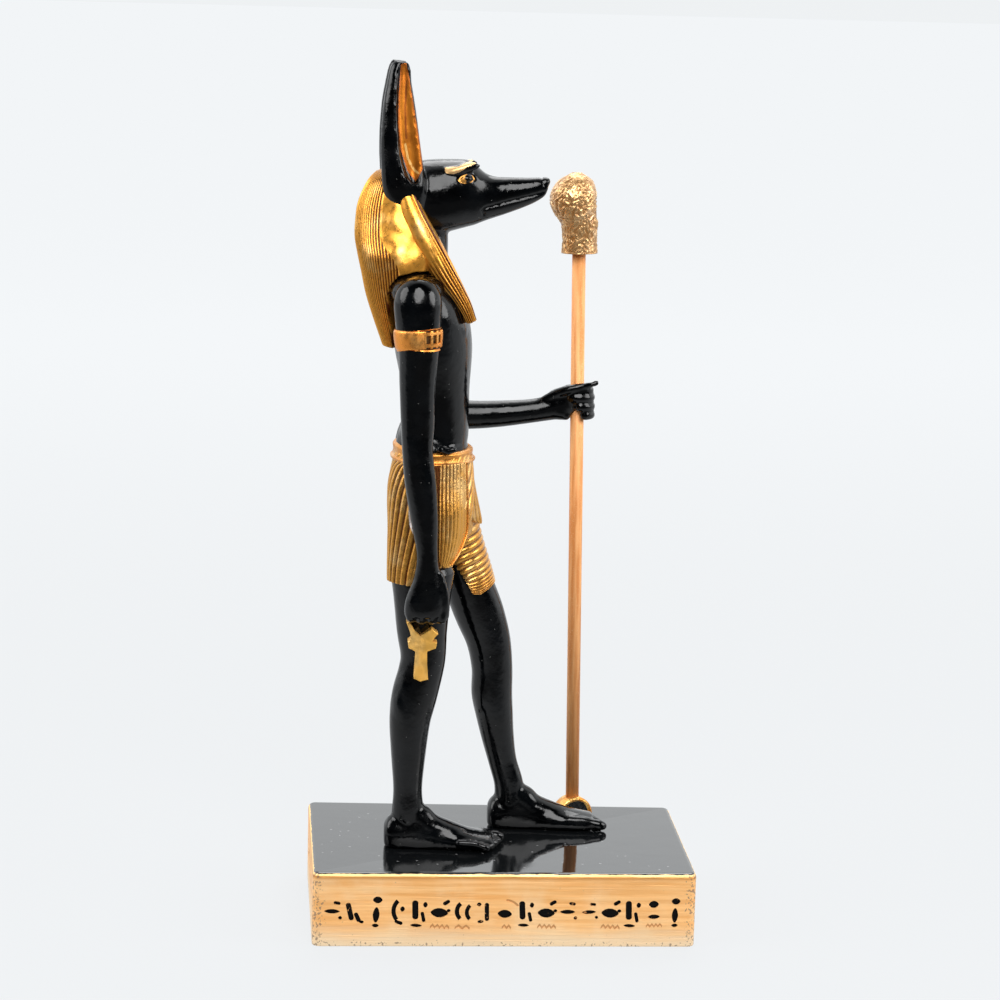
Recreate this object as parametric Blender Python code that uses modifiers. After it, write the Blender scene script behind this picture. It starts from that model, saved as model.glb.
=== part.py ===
"""A striding jackal-headed god with a staff, on an inscribed plinth: a painted resin statuette.

Four pieces: the plinth with the socket for the staff, the figure cast in one, the rod of the
staff, and the knob on its top. Metres, +Z up. The origin is the middle of the plinth's underside.
The figure walks towards +X, and its left side is +Y.
"""
import math
import random

import bmesh
import bpy
from mathutils import Matrix, Vector

# Plinth
PLINTH_LENGTH = 0.088
PLINTH_DEPTH = 0.054
PLINTH_HEIGHT = 0.0175
PLINTH_CORNER = 0.0022
PLINTH_EDGE = 0.0012

# Rows of shallow strokes on the plinth's sides
STROKE_DEPTH = 0.0005
STROKE_WIDTH = 0.0011
STROKE_PITCH = 0.0052
STROKE_ROW_HEIGHT = 0.0062
STROKE_END_MARGIN = 0.0050

# Figure, from its soles to the tips of its ears
FIGURE_HEIGHT = 0.1825
FIGURE_SIDE_SHIFT = 0.0016
SEAT_GAP = 0.0003

# Staff: a rod that stands in a socket and passes through the left fist
ROD_DIAMETER = 0.0032
ROD_CLEARANCE = 0.0003
ROD_LEAN = math.radians(1.0)
SOCKET_RADIUS = 0.0047
SOCKET_WALL = 0.0004
SOCKET_TURN = math.radians(20)
SOCKET_HOLE_DEPTH = 0.0024
KNOB_BASE = 0.1375
KNOB_LENGTH = 0.0190
KNOB_HOLE_DEPTH = 0.0080

# Mesh fineness
BODY_VOXEL = 0.0006
BODY_TRIANGLES = 3100

# The figure's shapes are written in units that are a millimetre at its real height.
UNIT = FIGURE_HEIGHT / 182.5

# Where the staff meets the plinth, in those units, beside the left foot
STAFF_FOOT = (19.6, 20.0)


def clear_scene():
    for old in list(bpy.data.objects):
        bpy.data.objects.remove(old)


def collection(name, hidden=False):
    made = bpy.data.collections.new(name)
    bpy.context.scene.collection.children.link(made)
    made.hide_render = hidden
    return made


def paint(name, colour, roughness, metallic):
    """A material with the finish seen on the real piece."""
    made = bpy.data.materials.new(name)
    made.use_nodes = True
    shader = made.node_tree.nodes["Principled BSDF"]
    shader.inputs["Base Color"].default_value = (*colour, 1.0)
    shader.inputs["Roughness"].default_value = roughness
    shader.inputs["Metallic"].default_value = metallic
    return made


# Helpers that build and join shapes

def new_object(name, mesh, group):
    made = bpy.data.objects.new(name, mesh)
    group.objects.link(made)
    return made


def object_from_bmesh(name, shape, group):
    bmesh.ops.recalc_face_normals(shape, faces=shape.faces)
    mesh = bpy.data.meshes.new(name)
    shape.to_mesh(mesh)
    shape.free()
    return new_object(name, mesh, group)


def baked(obj):
    """The object with its modifiers applied to its mesh."""
    bpy.context.view_layer.update()
    graph = bpy.context.evaluated_depsgraph_get()
    mesh = bpy.data.meshes.new_from_object(obj.evaluated_get(graph))
    obj.modifiers.clear()
    obj.data = mesh
    return obj


def combine(target, tool, operation):
    """Joins tool to target, or cuts it away, and removes tool."""
    step = target.modifiers.new(operation.lower(), "BOOLEAN")
    step.operation = operation
    step.solver = "EXACT"
    step.object = tool
    baked(target)
    bpy.data.objects.remove(tool)
    return target


def between(rows, steps):
    """Rows of numbers on a smooth curve through the given rows, steps to each stretch."""
    made = []
    last = len(rows) - 1
    for i in range(last):
        p0, p1, p2, p3 = (rows[min(max(i + k, 0), last)] for k in (-1, 0, 1, 2))
        for s in range(steps):
            t = s / steps
            made.append([
                0.5 * (2 * b + (c - a) * t + (2 * a - 5 * b + 4 * c - d) * t ** 2
                       + (3 * b - a - 3 * c + d) * t ** 3)
                for a, b, c, d in zip(p0, p1, p2, p3)
            ])
    made.append(list(rows[last]))
    return made


def skin(name, rings, group):
    """A closed shape through rings of equally many points, capped at both ends."""
    shape = bmesh.new()
    loops = [[shape.verts.new(point) for point in ring] for ring in rings]
    sides = len(loops[0])
    for low, high in zip(loops, loops[1:]):
        for k in range(sides):
            n = (k + 1) % sides
            shape.faces.new((low[k], low[n], high[n], high[k]))
    shape.faces.new(loops[0])
    shape.faces.new(list(reversed(loops[-1])))
    return object_from_bmesh(name, shape, group)


def at(x, y, z):
    """A place in the figure's units: from the plinth's middle, its own centre plane and its soles."""
    return Vector((x * UNIT, FIGURE_SIDE_SHIFT + y * UNIT, PLINTH_HEIGHT + SEAT_GAP + z * UNIT))


def limb_rings(rows, sides, steps, relief=None, floor=None, rise=None, level=False):
    """Rings round a path. A row is x, y, z, half the width from side to side and half the width
    in the plane of the path. relief(turn, share) gives what a ridge adds, and rise(turn, share)
    how much higher a point lies, both in units. Level keeps the rings square to the x axis."""
    stations = between(rows, steps)
    rings = []
    for i, (x, y, z, side, front) in enumerate(stations):
        ahead = Vector(stations[min(i + 1, len(stations) - 1)][:3])
        behind = Vector(stations[max(i - 1, 0)][:3])
        along = (ahead - behind).normalized()
        if level:
            along = Vector((math.copysign(1.0, along.x), 0, 0))
        across = (Vector((0, 1, 0)) - along * along.y).normalized()
        upright = along.cross(across)
        share = i / (len(stations) - 1)
        ring = []
        for k in range(sides):
            turn = 2 * math.pi * k / sides
            extra = relief(turn, share) if relief else 0.0
            point = (Vector((x, y, z)) + across * math.sin(turn) * (side + extra)
                     - upright * math.cos(turn) * (front + extra))
            if floor is not None:
                point.z = max(point.z, floor)
            if rise:
                point.z += rise(turn, share)
            ring.append(at(*point))
        rings.append(ring)
    return rings


def limb(name, rows, group, sides=16, steps=3, relief=None, floor=None, rise=None, level=False):
    return skin(name, limb_rings(rows, sides, steps, relief, floor, rise, level), group)


def smooth_step(low, high, value):
    t = min(max((value - low) / (high - low), 0.0), 1.0)
    return t * t * (3 - 2 * t)


def mirrored(rows):
    return [(x, -y, *rest) for x, y, *rest in rows]


def ridges(count, height):
    """Pleats that run along a limb, as relief: round ridges with sharp valleys."""
    def relief(turn, share):
        return height * abs(math.sin(count * turn / 2))
    return relief


def hoops(count, height):
    """Pleats that run round a limb, as relief."""
    def relief(turn, share):
        return height * abs(math.sin(math.pi * count * share))
    return relief


# Plinth

def stroke_cutters(group):
    """Short upright, level and dot-like strokes in a row on each side, which spell nothing."""
    shape = bmesh.new()
    low_half, high_half = 0.30 * STROKE_ROW_HEIGHT, 0.44 * STROKE_ROW_HEIGHT

    def cut(place, turn, level, width, height):
        size = Matrix.Diagonal((width, 2 * STROKE_DEPTH, height, 1.0))
        spot = Matrix.Rotation(turn, 4, "Z") @ Matrix.Translation((place, -reach, level))
        bmesh.ops.create_cube(shape, size=1.0, matrix=spot @ size)

    sides = (
        (0.0, PLINTH_LENGTH, PLINTH_DEPTH / 2),
        (math.pi, PLINTH_LENGTH, PLINTH_DEPTH / 2),
        (math.pi / 2, PLINTH_DEPTH, PLINTH_LENGTH / 2),
        (-math.pi / 2, PLINTH_DEPTH, PLINTH_LENGTH / 2),
    )
    middle = 0.47 * PLINTH_HEIGHT
    for turn, length, reach in sides:
        count = max(1, int((length - 2 * STROKE_END_MARGIN) / STROKE_PITCH))
        for k in range(count):
            place = (k - (count - 1) / 2) * STROKE_PITCH
            form = k % 4
            if form == 0:
                cut(place, turn, middle, STROKE_WIDTH, 2 * high_half)
            elif form == 1:
                cut(place, turn, middle + high_half / 2, STROKE_WIDTH * 1.2, STROKE_WIDTH)
                cut(place, turn, middle - low_half, STROKE_PITCH * 0.62, STROKE_WIDTH)
            elif form == 2:
                cut(place, turn, middle, STROKE_PITCH * 0.60, STROKE_WIDTH * 1.3)
            else:
                cut(place - STROKE_WIDTH, turn, middle, STROKE_WIDTH, 2 * low_half)
                cut(place + STROKE_WIDTH, turn, middle, STROKE_WIDTH, 2 * low_half)
    return object_from_bmesh("strokes", shape, group)


def staff_axis(distance):
    """A point on the staff's axis, this far above the plinth's top along the axis."""
    foot = at(*STAFF_FOOT, 0) - Vector((0, 0, SEAT_GAP))
    return foot + Vector((-math.sin(ROD_LEAN), 0, math.cos(ROD_LEAN))) * distance


def round_bar(name, radius, start, end, group, sides=32):
    """A cylinder along the staff's axis between two distances above the plinth's top."""
    shape = bmesh.new()
    bmesh.ops.create_cone(
        shape, cap_ends=True, segments=sides, radius1=radius, radius2=radius, depth=end - start)
    place = Matrix.Translation(staff_axis((start + end) / 2)) @ Matrix.Rotation(-ROD_LEAN, 4, "Y")
    bmesh.ops.transform(shape, matrix=place, verts=shape.verts)
    return object_from_bmesh(name, shape, group)


def socket(group):
    """The half-round lug, cast with the plinth, that the rod stands in."""
    sides = 24
    sink = 0.5 * PLINTH_EDGE
    outline = [Vector((-SOCKET_RADIUS, 0, -sink)), Vector((SOCKET_RADIUS, 0, -sink))]
    for k in range(sides + 1):
        turn = math.pi * k / sides
        outline.append(Vector((SOCKET_RADIUS * math.cos(turn), 0, SOCKET_RADIUS * math.sin(turn))))
    place = Matrix.Translation(staff_axis(0)) @ Matrix.Rotation(SOCKET_TURN, 4, "Z")
    half = ROD_DIAMETER / 2 + ROD_CLEARANCE + SOCKET_WALL
    rings = [[place @ (point + Vector((0, side * half, 0))) for point in outline] for side in (-1, 1)]
    return skin("socket", rings, group)


def build_plinth(group, workshop):
    shape = bmesh.new()
    bmesh.ops.create_cube(shape, size=1.0)
    bmesh.ops.scale(shape, vec=(PLINTH_LENGTH, PLINTH_DEPTH, PLINTH_HEIGHT), verts=shape.verts)
    bmesh.ops.translate(shape, vec=(0, 0, PLINTH_HEIGHT / 2), verts=shape.verts)
    upright = [e for e in shape.edges if abs(e.verts[0].co.z - e.verts[1].co.z) > PLINTH_HEIGHT / 2]
    bmesh.ops.bevel(shape, geom=upright, offset=PLINTH_CORNER, segments=3, profile=0.5, affect="EDGES")
    rim = [e for e in shape.edges if all(abs(v.co.z - PLINTH_HEIGHT) < 1e-6 for v in e.verts)]
    bmesh.ops.bevel(shape, geom=rim, offset=PLINTH_EDGE, segments=2, profile=0.5, affect="EDGES")
    plinth = object_from_bmesh("plinth", shape, group)
    combine(plinth, socket(workshop), "UNION")
    hole = round_bar("rod_hole", ROD_DIAMETER / 2 + ROD_CLEARANCE, SOCKET_RADIUS - SOCKET_HOLE_DEPTH,
                     SOCKET_RADIUS * 1.5, workshop)
    combine(plinth, hole, "DIFFERENCE")
    return combine(plinth, stroke_cutters(workshop), "DIFFERENCE")


# Figure: the black parts of the body

TORSO = [
    (-17.5, 0, 74, 10.0, 8.0), (-17.4, 0, 84, 11.4, 8.8), (-17.1, 0, 91, 10.8, 8.2),
    (-16.9, 0, 98, 10.0, 7.9), (-17.1, 0, 107, 11.2, 7.9), (-17.8, 0, 117, 14.0, 9.0),
    (-19.0, 0, 125, 15.6, 8.6), (-20.8, 0, 131, 14.2, 6.6), (-21.0, 0, 136, 8.4, 6.2),
    (-20.6, 0, 142, 5.6, 5.7), (-20.4, 0, 150, 5.2, 5.0),
]
# The head from its nose back: x, its top and bottom line, and half its width
HEAD_LINES = [
    (7.8, 155.7, 154.0, 0.9), (7.2, 156.2, 152.2, 1.5), (5.5, 156.1, 150.8, 1.95),
    (2.7, 156.0, 149.5, 2.5), (-1.4, 156.0, 147.9, 3.1), (-4.3, 156.1, 146.9, 3.7),
    (-6.3, 156.7, 146.2, 4.3), (-7.8, 157.8, 145.6, 4.9), (-9.0, 158.9, 145.1, 5.5),
    (-10.5, 159.7, 144.7, 6.1), (-12.6, 159.9, 144.0, 6.8), (-15.5, 159.9, 143.2, 7.4),
    (-18.0, 159.8, 142.7, 7.7), (-22.0, 159.3, 142.5, 7.6), (-27.0, 157.6, 143.6, 6.0),
    (-31.0, 154.0, 146.8, 3.0),
]
HEAD = [(x, 0, (top + low) / 2, wide, (top - low) / 2) for x, top, low, wide in HEAD_LINES]
REAR_LEG = [
    (-19.0, -6.5, 82, 6.5, 8.0), (-19.5, -7.0, 72, 6.9, 8.2), (-19.5, -7.6, 60, 6.1, 6.7),
    (-19.4, -7.8, 52, 5.6, 5.9), (-19.0, -8.0, 46, 5.1, 5.3), (-19.5, -8.0, 42, 5.0, 5.2),
    (-20.9, -8.0, 36, 5.0, 5.3), (-21.8, -8.0, 30, 4.7, 4.8), (-22.0, -8.0, 22, 3.9, 4.05),
    (-22.0, -8.0, 14, 3.3, 3.4), (-21.9, -8.0, 9, 3.5, 3.7), (-21.9, -7.9, 4, 3.4, 3.9),
]
FRONT_LEG = [
    (-15.5, 6.0, 84, 6.5, 6.5), (-12.8, 6.8, 74, 6.6, 6.4), (-9.3, 7.5, 63, 6.2, 5.9),
    (-5.4, 8.0, 53, 5.7, 5.9), (-2.9, 8.2, 46, 5.1, 5.3), (-1.8, 8.3, 39, 4.8, 4.9),
    (-1.7, 8.3, 33, 4.8, 4.9), (-1.0, 8.3, 28, 4.6, 4.5), (0.0, 8.3, 22, 4.0, 3.9),
    (1.3, 8.3, 16, 3.4, 3.4), (2.9, 8.3, 10.5, 3.4, 3.5), (3.4, 8.3, 5, 3.4, 3.9),
]
FOOT = [
    (-5.5, 0, 2.9, 1.8, 2.2), (-5.1, 0, 2.9, 2.8, 3.3), (-4.2, 0, 2.95, 3.4, 4.3),
    (-2.0, 0, 3.0, 3.7, 5.2), (1.5, 0, 3.0, 3.7, 6.2), (4.8, 0, 2.3, 3.6, 5.6),
    (8.0, 0, 1.8, 4.0, 4.4), (12.0, 0, 1.5, 4.6, 3.4), (16.5, 0, 1.2, 5.0, 2.6),
    (19.8, 0, 1.0, 4.6, 2.1),
]
RIGHT_ARM = [
    (-22.2, -15.6, 134.0, 1.6, 1.8), (-22.2, -16.2, 132.3, 3.7, 3.9), (-22.2, -16.8, 129, 4.6, 4.9),
    (-22.1, -17.2, 124, 4.8, 5.2), (-21.8, -17.4, 118, 4.3, 4.6), (-21.9, -17.4, 110, 3.9, 4.1),
    (-21.7, -17.5, 101, 3.5, 3.8), (-21.6, -17.8, 95, 3.4, 3.5), (-20.8, -18.0, 88, 3.4, 3.6),
    (-19.8, -18.0, 80, 3.1, 3.2), (-19.0, -17.8, 72, 2.6, 2.5), (-18.9, -17.6, 67, 2.7, 2.9),
    (-18.9, -17.4, 63, 3.1, 4.1), (-19.1, -17.2, 59.5, 3.3, 4.8), (-19.1, -17.0, 57, 2.9, 4.6),
]
LEFT_UPPER_ARM = [
    (-22.2, 15.6, 134.0, 1.6, 1.8), (-22.2, 16.2, 132.3, 3.7, 3.9), (-22.2, 16.8, 129, 4.6, 4.9),
    (-21.9, 17.2, 124, 4.8, 5.1), (-21.2, 17.8, 116, 4.2, 4.3), (-20.4, 18.5, 107, 3.9, 3.9),
    (-19.9, 19.0, 101, 3.6, 3.7), (-19.7, 19.2, 97.5, 2.6, 2.7),
]
LEFT_FOREARM = [
    (-23.8, 19.1, 99.8, 1.4, 1.4), (-22.0, 19.2, 99.3, 3.0, 3.1), (-16.5, 19.5, 98.4, 3.4, 3.8),
    (-8.0, 19.8, 98.1, 3.2, 3.45), (-1.0, 20.0, 98.4, 2.9, 3.2), (6.0, 20.0, 99.1, 2.6, 2.9),
    (10.5, 20.0, 99.9, 2.6, 3.0), (13.5, 20.0, 100.6, 2.7, 3.5), (16.6, 20.0, 101.2, 2.4, 3.9),
]
EAR = [
    (-23.6, 7.0, 145.6, 2.2, 2.6), (-24.3, 7.2, 148.5, 3.4, 4.4), (-25.2, 7.2, 153.0, 3.5, 5.0),
    (-25.9, 7.1, 158.0, 3.2, 4.8), (-26.4, 7.0, 163.0, 2.9, 4.5), (-26.7, 7.0, 168.0, 2.6, 4.1),
    (-26.9, 7.0, 173.0, 2.2, 3.5), (-26.9, 6.9, 177.0, 1.8, 2.8), (-26.7, 6.8, 180.5, 1.3, 2.1),
    (-26.6, 6.7, 182.3, 0.6, 1.3),
]
EAR_HOLLOW = [
    (-23.3, 8.9, 154.4, 0.4, 0.4), (-23.6, 9.6, 157.0, 1.6, 1.8), (-24.3, 9.7, 162.0, 1.8, 2.5),
    (-25.0, 9.6, 167.0, 1.7, 2.3), (-25.5, 9.2, 171.5, 1.5, 2.1), (-25.8, 8.7, 176.0, 1.3, 1.7),
    (-25.9, 8.1, 179.5, 1.0, 1.3), (-25.9, 7.6, 181.4, 0.4, 0.6),
]


def toes(heel_x, foot_y, inner):
    """Five toes across the front of a foot. inner is 1 or -1, towards the big toe's side."""
    made = []
    lengths = (6.4, 6.0, 5.4, 4.7, 3.8)
    widths = (1.45, 1.1, 1.05, 1.0, 0.98)
    spot = 3.6
    for length, width in zip(lengths, widths):
        y = foot_y + inner * spot
        x = heel_x + 18.2 + (length - 6.4) * 0.75
        made.append([
            (x - 2.5, y, 1.5, width, 1.5), (x, y, 1.4, width * 1.05, 1.5),
            (x + length * 0.5, y, 1.1, width * 1.05, 1.25), (x + length * 0.72, y, 0.8, width * 0.6, 0.7),
        ])
        spot -= width * 2.0
    return made


def foot(ankle_x, foot_y, inner, group):
    """A bare foot, flat under the sole, with its toes."""
    rows = [(x + ankle_x, y + foot_y, z, side, front) for x, y, z, side, front in FOOT]
    shapes = [limb("foot", rows, group, sides=20, floor=0.0, level=True)]
    for toe in toes(ankle_x, foot_y, inner):
        shapes.append(limb("toe", toe, group, sides=10, steps=2, floor=0.0))
    return shapes


def gripping_fingers(group):
    """Four fingers round the staff, and the thumb laid over them."""
    shapes = []
    thickness = 1.25
    reach = (ROD_DIAMETER / 2 + ROD_CLEARANCE / 2) / UNIT + thickness * 0.9
    y = STAFF_FOOT[1]
    for height in (104.2, 102.0, 99.8, 97.7):
        centre = staff_axis(height * UNIT) / UNIT
        rows = []
        for k in range(9):
            turn = math.radians(200 - 34 * k)
            rows.append((centre.x + reach * math.cos(turn), y + reach * math.sin(turn), height))
        shapes.append(finger_tube("finger", rows, thickness, group))
    thumb = [(11.5, y - 2.0, 102.6), (14.5, y - 3.2, 104.0), (18.0, y - 3.5, 105.0), (21.4, y - 2.6, 105.6)]
    shapes.append(finger_tube("thumb", thumb, 1.2, group))
    return shapes


def resting_fingers(group):
    """The right fist's folded fingers and its thumb."""
    shapes = []
    for k in range(4):
        x = -22.7 + 2.35 * k
        rows = [(x, -19.4, 59.0), (x, -19.0, 56.8), (x, -17.0, 55.9), (x, -15.0, 56.8), (x, -14.6, 59.2)]
        shapes.append(finger_tube("finger", rows, 1.3, group))
    rows = [(-15.2, -17.6, 66.0), (-14.6, -17.0, 62.0), (-14.5, -16.2, 58.0), (-14.9, -15.4, 55.8)]
    shapes.append(finger_tube("thumb", rows, 1.25, group))
    return shapes


def finger_tube(name, rows, thickness, group):
    """A round bar with blunt ends through a few points in the figure's units."""
    curve = bpy.data.curves.new(name, "CURVE")
    curve.dimensions = "3D"
    curve.bevel_depth = thickness * UNIT
    curve.bevel_resolution = 2
    curve.use_fill_caps = True
    smooth = between([list(row) for row in rows], 3)
    line = curve.splines.new("POLY")
    line.points.add(len(smooth) - 1)
    last = len(smooth) - 1
    for i, (point, row) in enumerate(zip(line.points, smooth)):
        point.co = (*at(*row), 1.0)
        point.radius = 0.62 if i in (0, last) else 1.0
    source = new_object(name + "_line", curve, group)
    bpy.context.view_layer.update()
    mesh = bpy.data.meshes.new_from_object(source.evaluated_get(bpy.context.evaluated_depsgraph_get()))
    bpy.data.objects.remove(source)
    shape = bmesh.new()
    shape.from_mesh(mesh)
    bmesh.ops.remove_doubles(shape, verts=shape.verts, dist=1e-6)
    return object_from_bmesh(name, shape, group)


def ear(rows, hollow, group):
    made = limb("ear", rows, group, sides=18)
    return combine(made, limb("ear_hollow", hollow, group, sides=14), "DIFFERENCE")


def cast_body(group):
    """Every black part of the body run together into one smooth skin."""
    shapes = [
        limb("torso", TORSO, group, sides=24),
        limb("head", HEAD, group, sides=24, level=True),
        limb("rear_leg", REAR_LEG, group, sides=20),
        limb("front_leg", FRONT_LEG, group, sides=20),
        limb("right_arm", RIGHT_ARM, group, sides=20),
        limb("left_upper_arm", LEFT_UPPER_ARM, group, sides=20),
        limb("left_forearm", LEFT_FOREARM, group, sides=20),
        ear(mirrored(EAR), mirrored(EAR_HOLLOW), group),
        ear(EAR, EAR_HOLLOW, group),
    ]
    shapes += foot(-21.9, -8.0, 1, group)
    shapes += foot(3.4, 8.3, -1, group)
    shapes += gripping_fingers(group)
    shapes += resting_fingers(group)
    body = bmesh.new()
    for piece in shapes:
        body.from_mesh(piece.data)
        bpy.data.objects.remove(piece)
    figure = object_from_bmesh("figure", body, group)
    fuse = figure.modifiers.new("fuse", "REMESH")
    fuse.mode = "VOXEL"
    fuse.voxel_size = BODY_VOXEL
    soften = figure.modifiers.new("soften", "SMOOTH")
    soften.factor = 0.5
    soften.iterations = 3
    baked(figure)
    thin = figure.modifiers.new("thin", "DECIMATE")
    thin.ratio = BODY_TRIANGLES / (2.0 * len(figure.data.polygons))
    return baked(figure)


# Figure: the gilt wig, kilt, belt, armbands and ankh

# The wig's sections, from the crown down: middle, then half the width to the side and to the back
WIG_SECTIONS = [
    (158.4, -26.0, 1.6, 1.6), (157.0, -26.0, 5.2, 5.2), (154.4, -25.9, 8.6, 7.4),
    (150.0, -25.6, 10.4, 9.6), (146.0, -25.6, 11.6, 10.2), (142.0, -25.4, 12.8, 10.5),
    (138.0, -25.2, 13.4, 10.4), (134.0, -25.0, 12.8, 9.7), (129.0, -24.8, 11.6, 8.8),
    (124.0, -24.6, 10.4, 7.4), (119.5, -24.4, 9.6, 6.0), (117.0, -24.3, 9.2, 5.2),
]
WIG_THICKNESS = 2.2
WIG_BACK_HEM = 117.2
WIG_SIDE_HEM = 134.6
WIG_LAPPET = [
    (-25.2, 8.0, 152.6, 2.0, 2.0), (-23.0, 8.8, 147.0, 3.0, 2.7), (-19.4, 9.4, 140.0, 3.5, 3.1),
    (-15.7, 8.9, 134.0, 3.6, 2.7), (-13.0, 8.0, 130.0, 3.6, 2.1), (-11.2, 7.2, 127.0, 3.6, 1.75),
    (-9.9, 6.5, 124.2, 3.4, 1.4),
]
KILT_HIPS = [
    (-17.5, 0.5, 92.5, 11.3, 8.7), (-17.5, 0.5, 89.0, 12.1, 9.2), (-17.7, 0.5, 84.0, 12.9, 9.7),
    (-17.4, 1.0, 79.0, 13.0, 10.0), (-17.2, 1.0, 74.0, 12.6, 9.6), (-17.0, 1.0, 71.5, 11.6, 8.4),
]
KILT_REAR_LEG = [
    (-17.5, -1.5, 92.5, 10.4, 9.1), (-17.5, -1.8, 89, 11.0, 9.6), (-17.8, -3.2, 84, 10.6, 10.1),
    (-18.0, -5.0, 78, 9.8, 9.9), (-19.0, -6.5, 71, 8.4, 8.9), (-19.8, -7.3, 66, 7.7, 8.1),
    (-20.2, -7.6, 62.6, 7.6, 7.6),
]
KILT_REAR_LEG_STEP = 5.0
KILT_FRONT_LEG = [
    (-15.0, 6.2, 80, 7.4, 7.6), (-11.6, 7.3, 70, 7.1, 6.5), (-8.4, 8.0, 62, 6.7, 5.8),
    (-7.6, 8.2, 59.4, 6.5, 5.6),
]
BELT = [
    (-17.4, 0, 91.0, 11.6, 8.9), (-17.4, 0, 91.8, 12.3, 9.5), (-17.4, 0, 93.2, 12.2, 9.4),
    (-17.4, 0, 94.2, 11.2, 8.8),
]
ARMBAND_HEIGHTS = (118.8, 122.6)
ARMBAND_PROUD = 0.55


def wig_shell(group, sides, fine, grooves, depth):
    """The wig from its crown to its hem, which hangs low behind and stops short on the
    shoulders. Its strands run from crown to hem, grooved between, and it closes on the neck."""
    sections = between([list(row) for row in WIG_SECTIONS], 4)

    def section(z):
        for high, low in zip(sections, sections[1:]):
            if low[0] <= z:
                t = (high[0] - z) / (high[0] - low[0])
                return [a + (b - a) * min(max(t, 0.0), 1.0) for a, b in zip(high, low)]
        return sections[-1]

    rings = [[] for _ in range(fine + 3)]
    for k in range(sides):
        turn = 2 * math.pi * k / sides
        aside = abs((turn + math.pi) % (2 * math.pi) - math.pi)
        hem = WIG_BACK_HEM + (WIG_SIDE_HEM - WIG_BACK_HEM) * smooth_step(0.95, 1.35, aside)
        groove = depth * (abs(math.sin(grooves * turn / 2)) - 1)
        for i in range(fine + 1):
            share = (i / fine) ** 0.8
            z = WIG_SECTIONS[0][0] + (hem - WIG_SECTIONS[0][0]) * share
            _, x, side, back = section(z)
            cut = groove * smooth_step(0.0, 0.3, share)
            rings[i].append(at(x - (back + cut) * math.cos(turn), (side + cut) * math.sin(turn), z))
        inner = max(back - WIG_THICKNESS, 1.0) / back
        rings[-2].append(at(x - back * inner * math.cos(turn), side * inner * math.sin(turn), hem))
        rings[-1].append(at(-21.4 - 2.0 * math.cos(turn), 2.0 * math.sin(turn), 141.0))
    return skin("wig_shell", rings, group)


def armband(rows, group):
    """A flat band round an upper arm, between two heights."""
    low, high = ARMBAND_HEIGHTS
    stations = between([list(row) for row in rows], 8)

    def section(height):
        below = min(stations, key=lambda row: abs(row[2] - height))
        return below[0], below[1], height, below[3] + ARMBAND_PROUD, below[4] + ARMBAND_PROUD

    return limb("armband", [section(low), section(high)], group, sides=24, steps=1)


def stepped_hem(turn, share):
    """The wrap over the right thigh hangs lower behind than in front."""
    return KILT_REAR_LEG_STEP * smooth_step(0.0, 0.35, -math.cos(turn)) * smooth_step(0.3, 1.0, share)


def ankh(group):
    """The ankh that hangs from the right fist, flat against the leg: a flared stem, a cross-bar
    and the two lower ends of a loop whose right end is broken off short."""
    near, far = -15.6, -12.0
    outline = [
        (-23.2, 56.0), (-22.3, 56.0), (-21.4, 53.2), (-20.1, 51.8), (-17.3, 53.7), (-16.0, 52.7),
        (-17.9, 51.0), (-16.3, 50.6), (-16.3, 49.3), (-18.9, 48.8), (-18.2, 41.9), (-21.5, 41.9),
        (-21.0, 48.8), (-22.7, 49.2), (-23.0, 50.7), (-21.8, 51.7),
    ]
    rings = [[at(x, y, z) for x, z in outline] for y in (near, far)]
    return skin("ankh", rings, group)


def build_figure(group, workshop):
    figure = cast_body(workshop)
    gilding = [
        wig_shell(workshop, sides=64, fine=7, grooves=32, depth=0.5),
        limb("wig_lappet", WIG_LAPPET, workshop, sides=20, steps=1, relief=ridges(10, 0.4)),
        limb("wig_lappet", mirrored(WIG_LAPPET), workshop, sides=20, steps=1, relief=ridges(10, 0.4)),
        limb("kilt_hips", KILT_HIPS, workshop, sides=56, steps=1, relief=ridges(28, 0.5)),
        limb("kilt_rear_leg", KILT_REAR_LEG, workshop, sides=52, steps=1, relief=ridges(26, 0.5),
             rise=stepped_hem),
        limb("kilt_front_leg", KILT_FRONT_LEG, workshop, sides=16, steps=5, relief=hoops(5, 0.5)),
        limb("belt", BELT, workshop, sides=32, steps=1),
        armband(RIGHT_ARM, workshop),
        armband(LEFT_UPPER_ARM, workshop),
        ankh(workshop),
    ]
    for piece in gilding:
        combine(figure, piece, "UNION")
    grip = round_bar("grip_bore", ROD_DIAMETER / 2 + ROD_CLEARANCE, 90 * UNIT, 116 * UNIT, workshop)
    combine(figure, grip, "DIFFERENCE")
    workshop.objects.unlink(figure)
    group.objects.link(figure)
    return figure


# Staff

def build_rod(group):
    foot = SOCKET_RADIUS - SOCKET_HOLE_DEPTH + ROD_CLEARANCE
    head = KNOB_BASE + KNOB_HOLE_DEPTH - ROD_CLEARANCE
    return round_bar("staff_rod", ROD_DIAMETER / 2, foot, head, group, sides=24)


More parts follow.
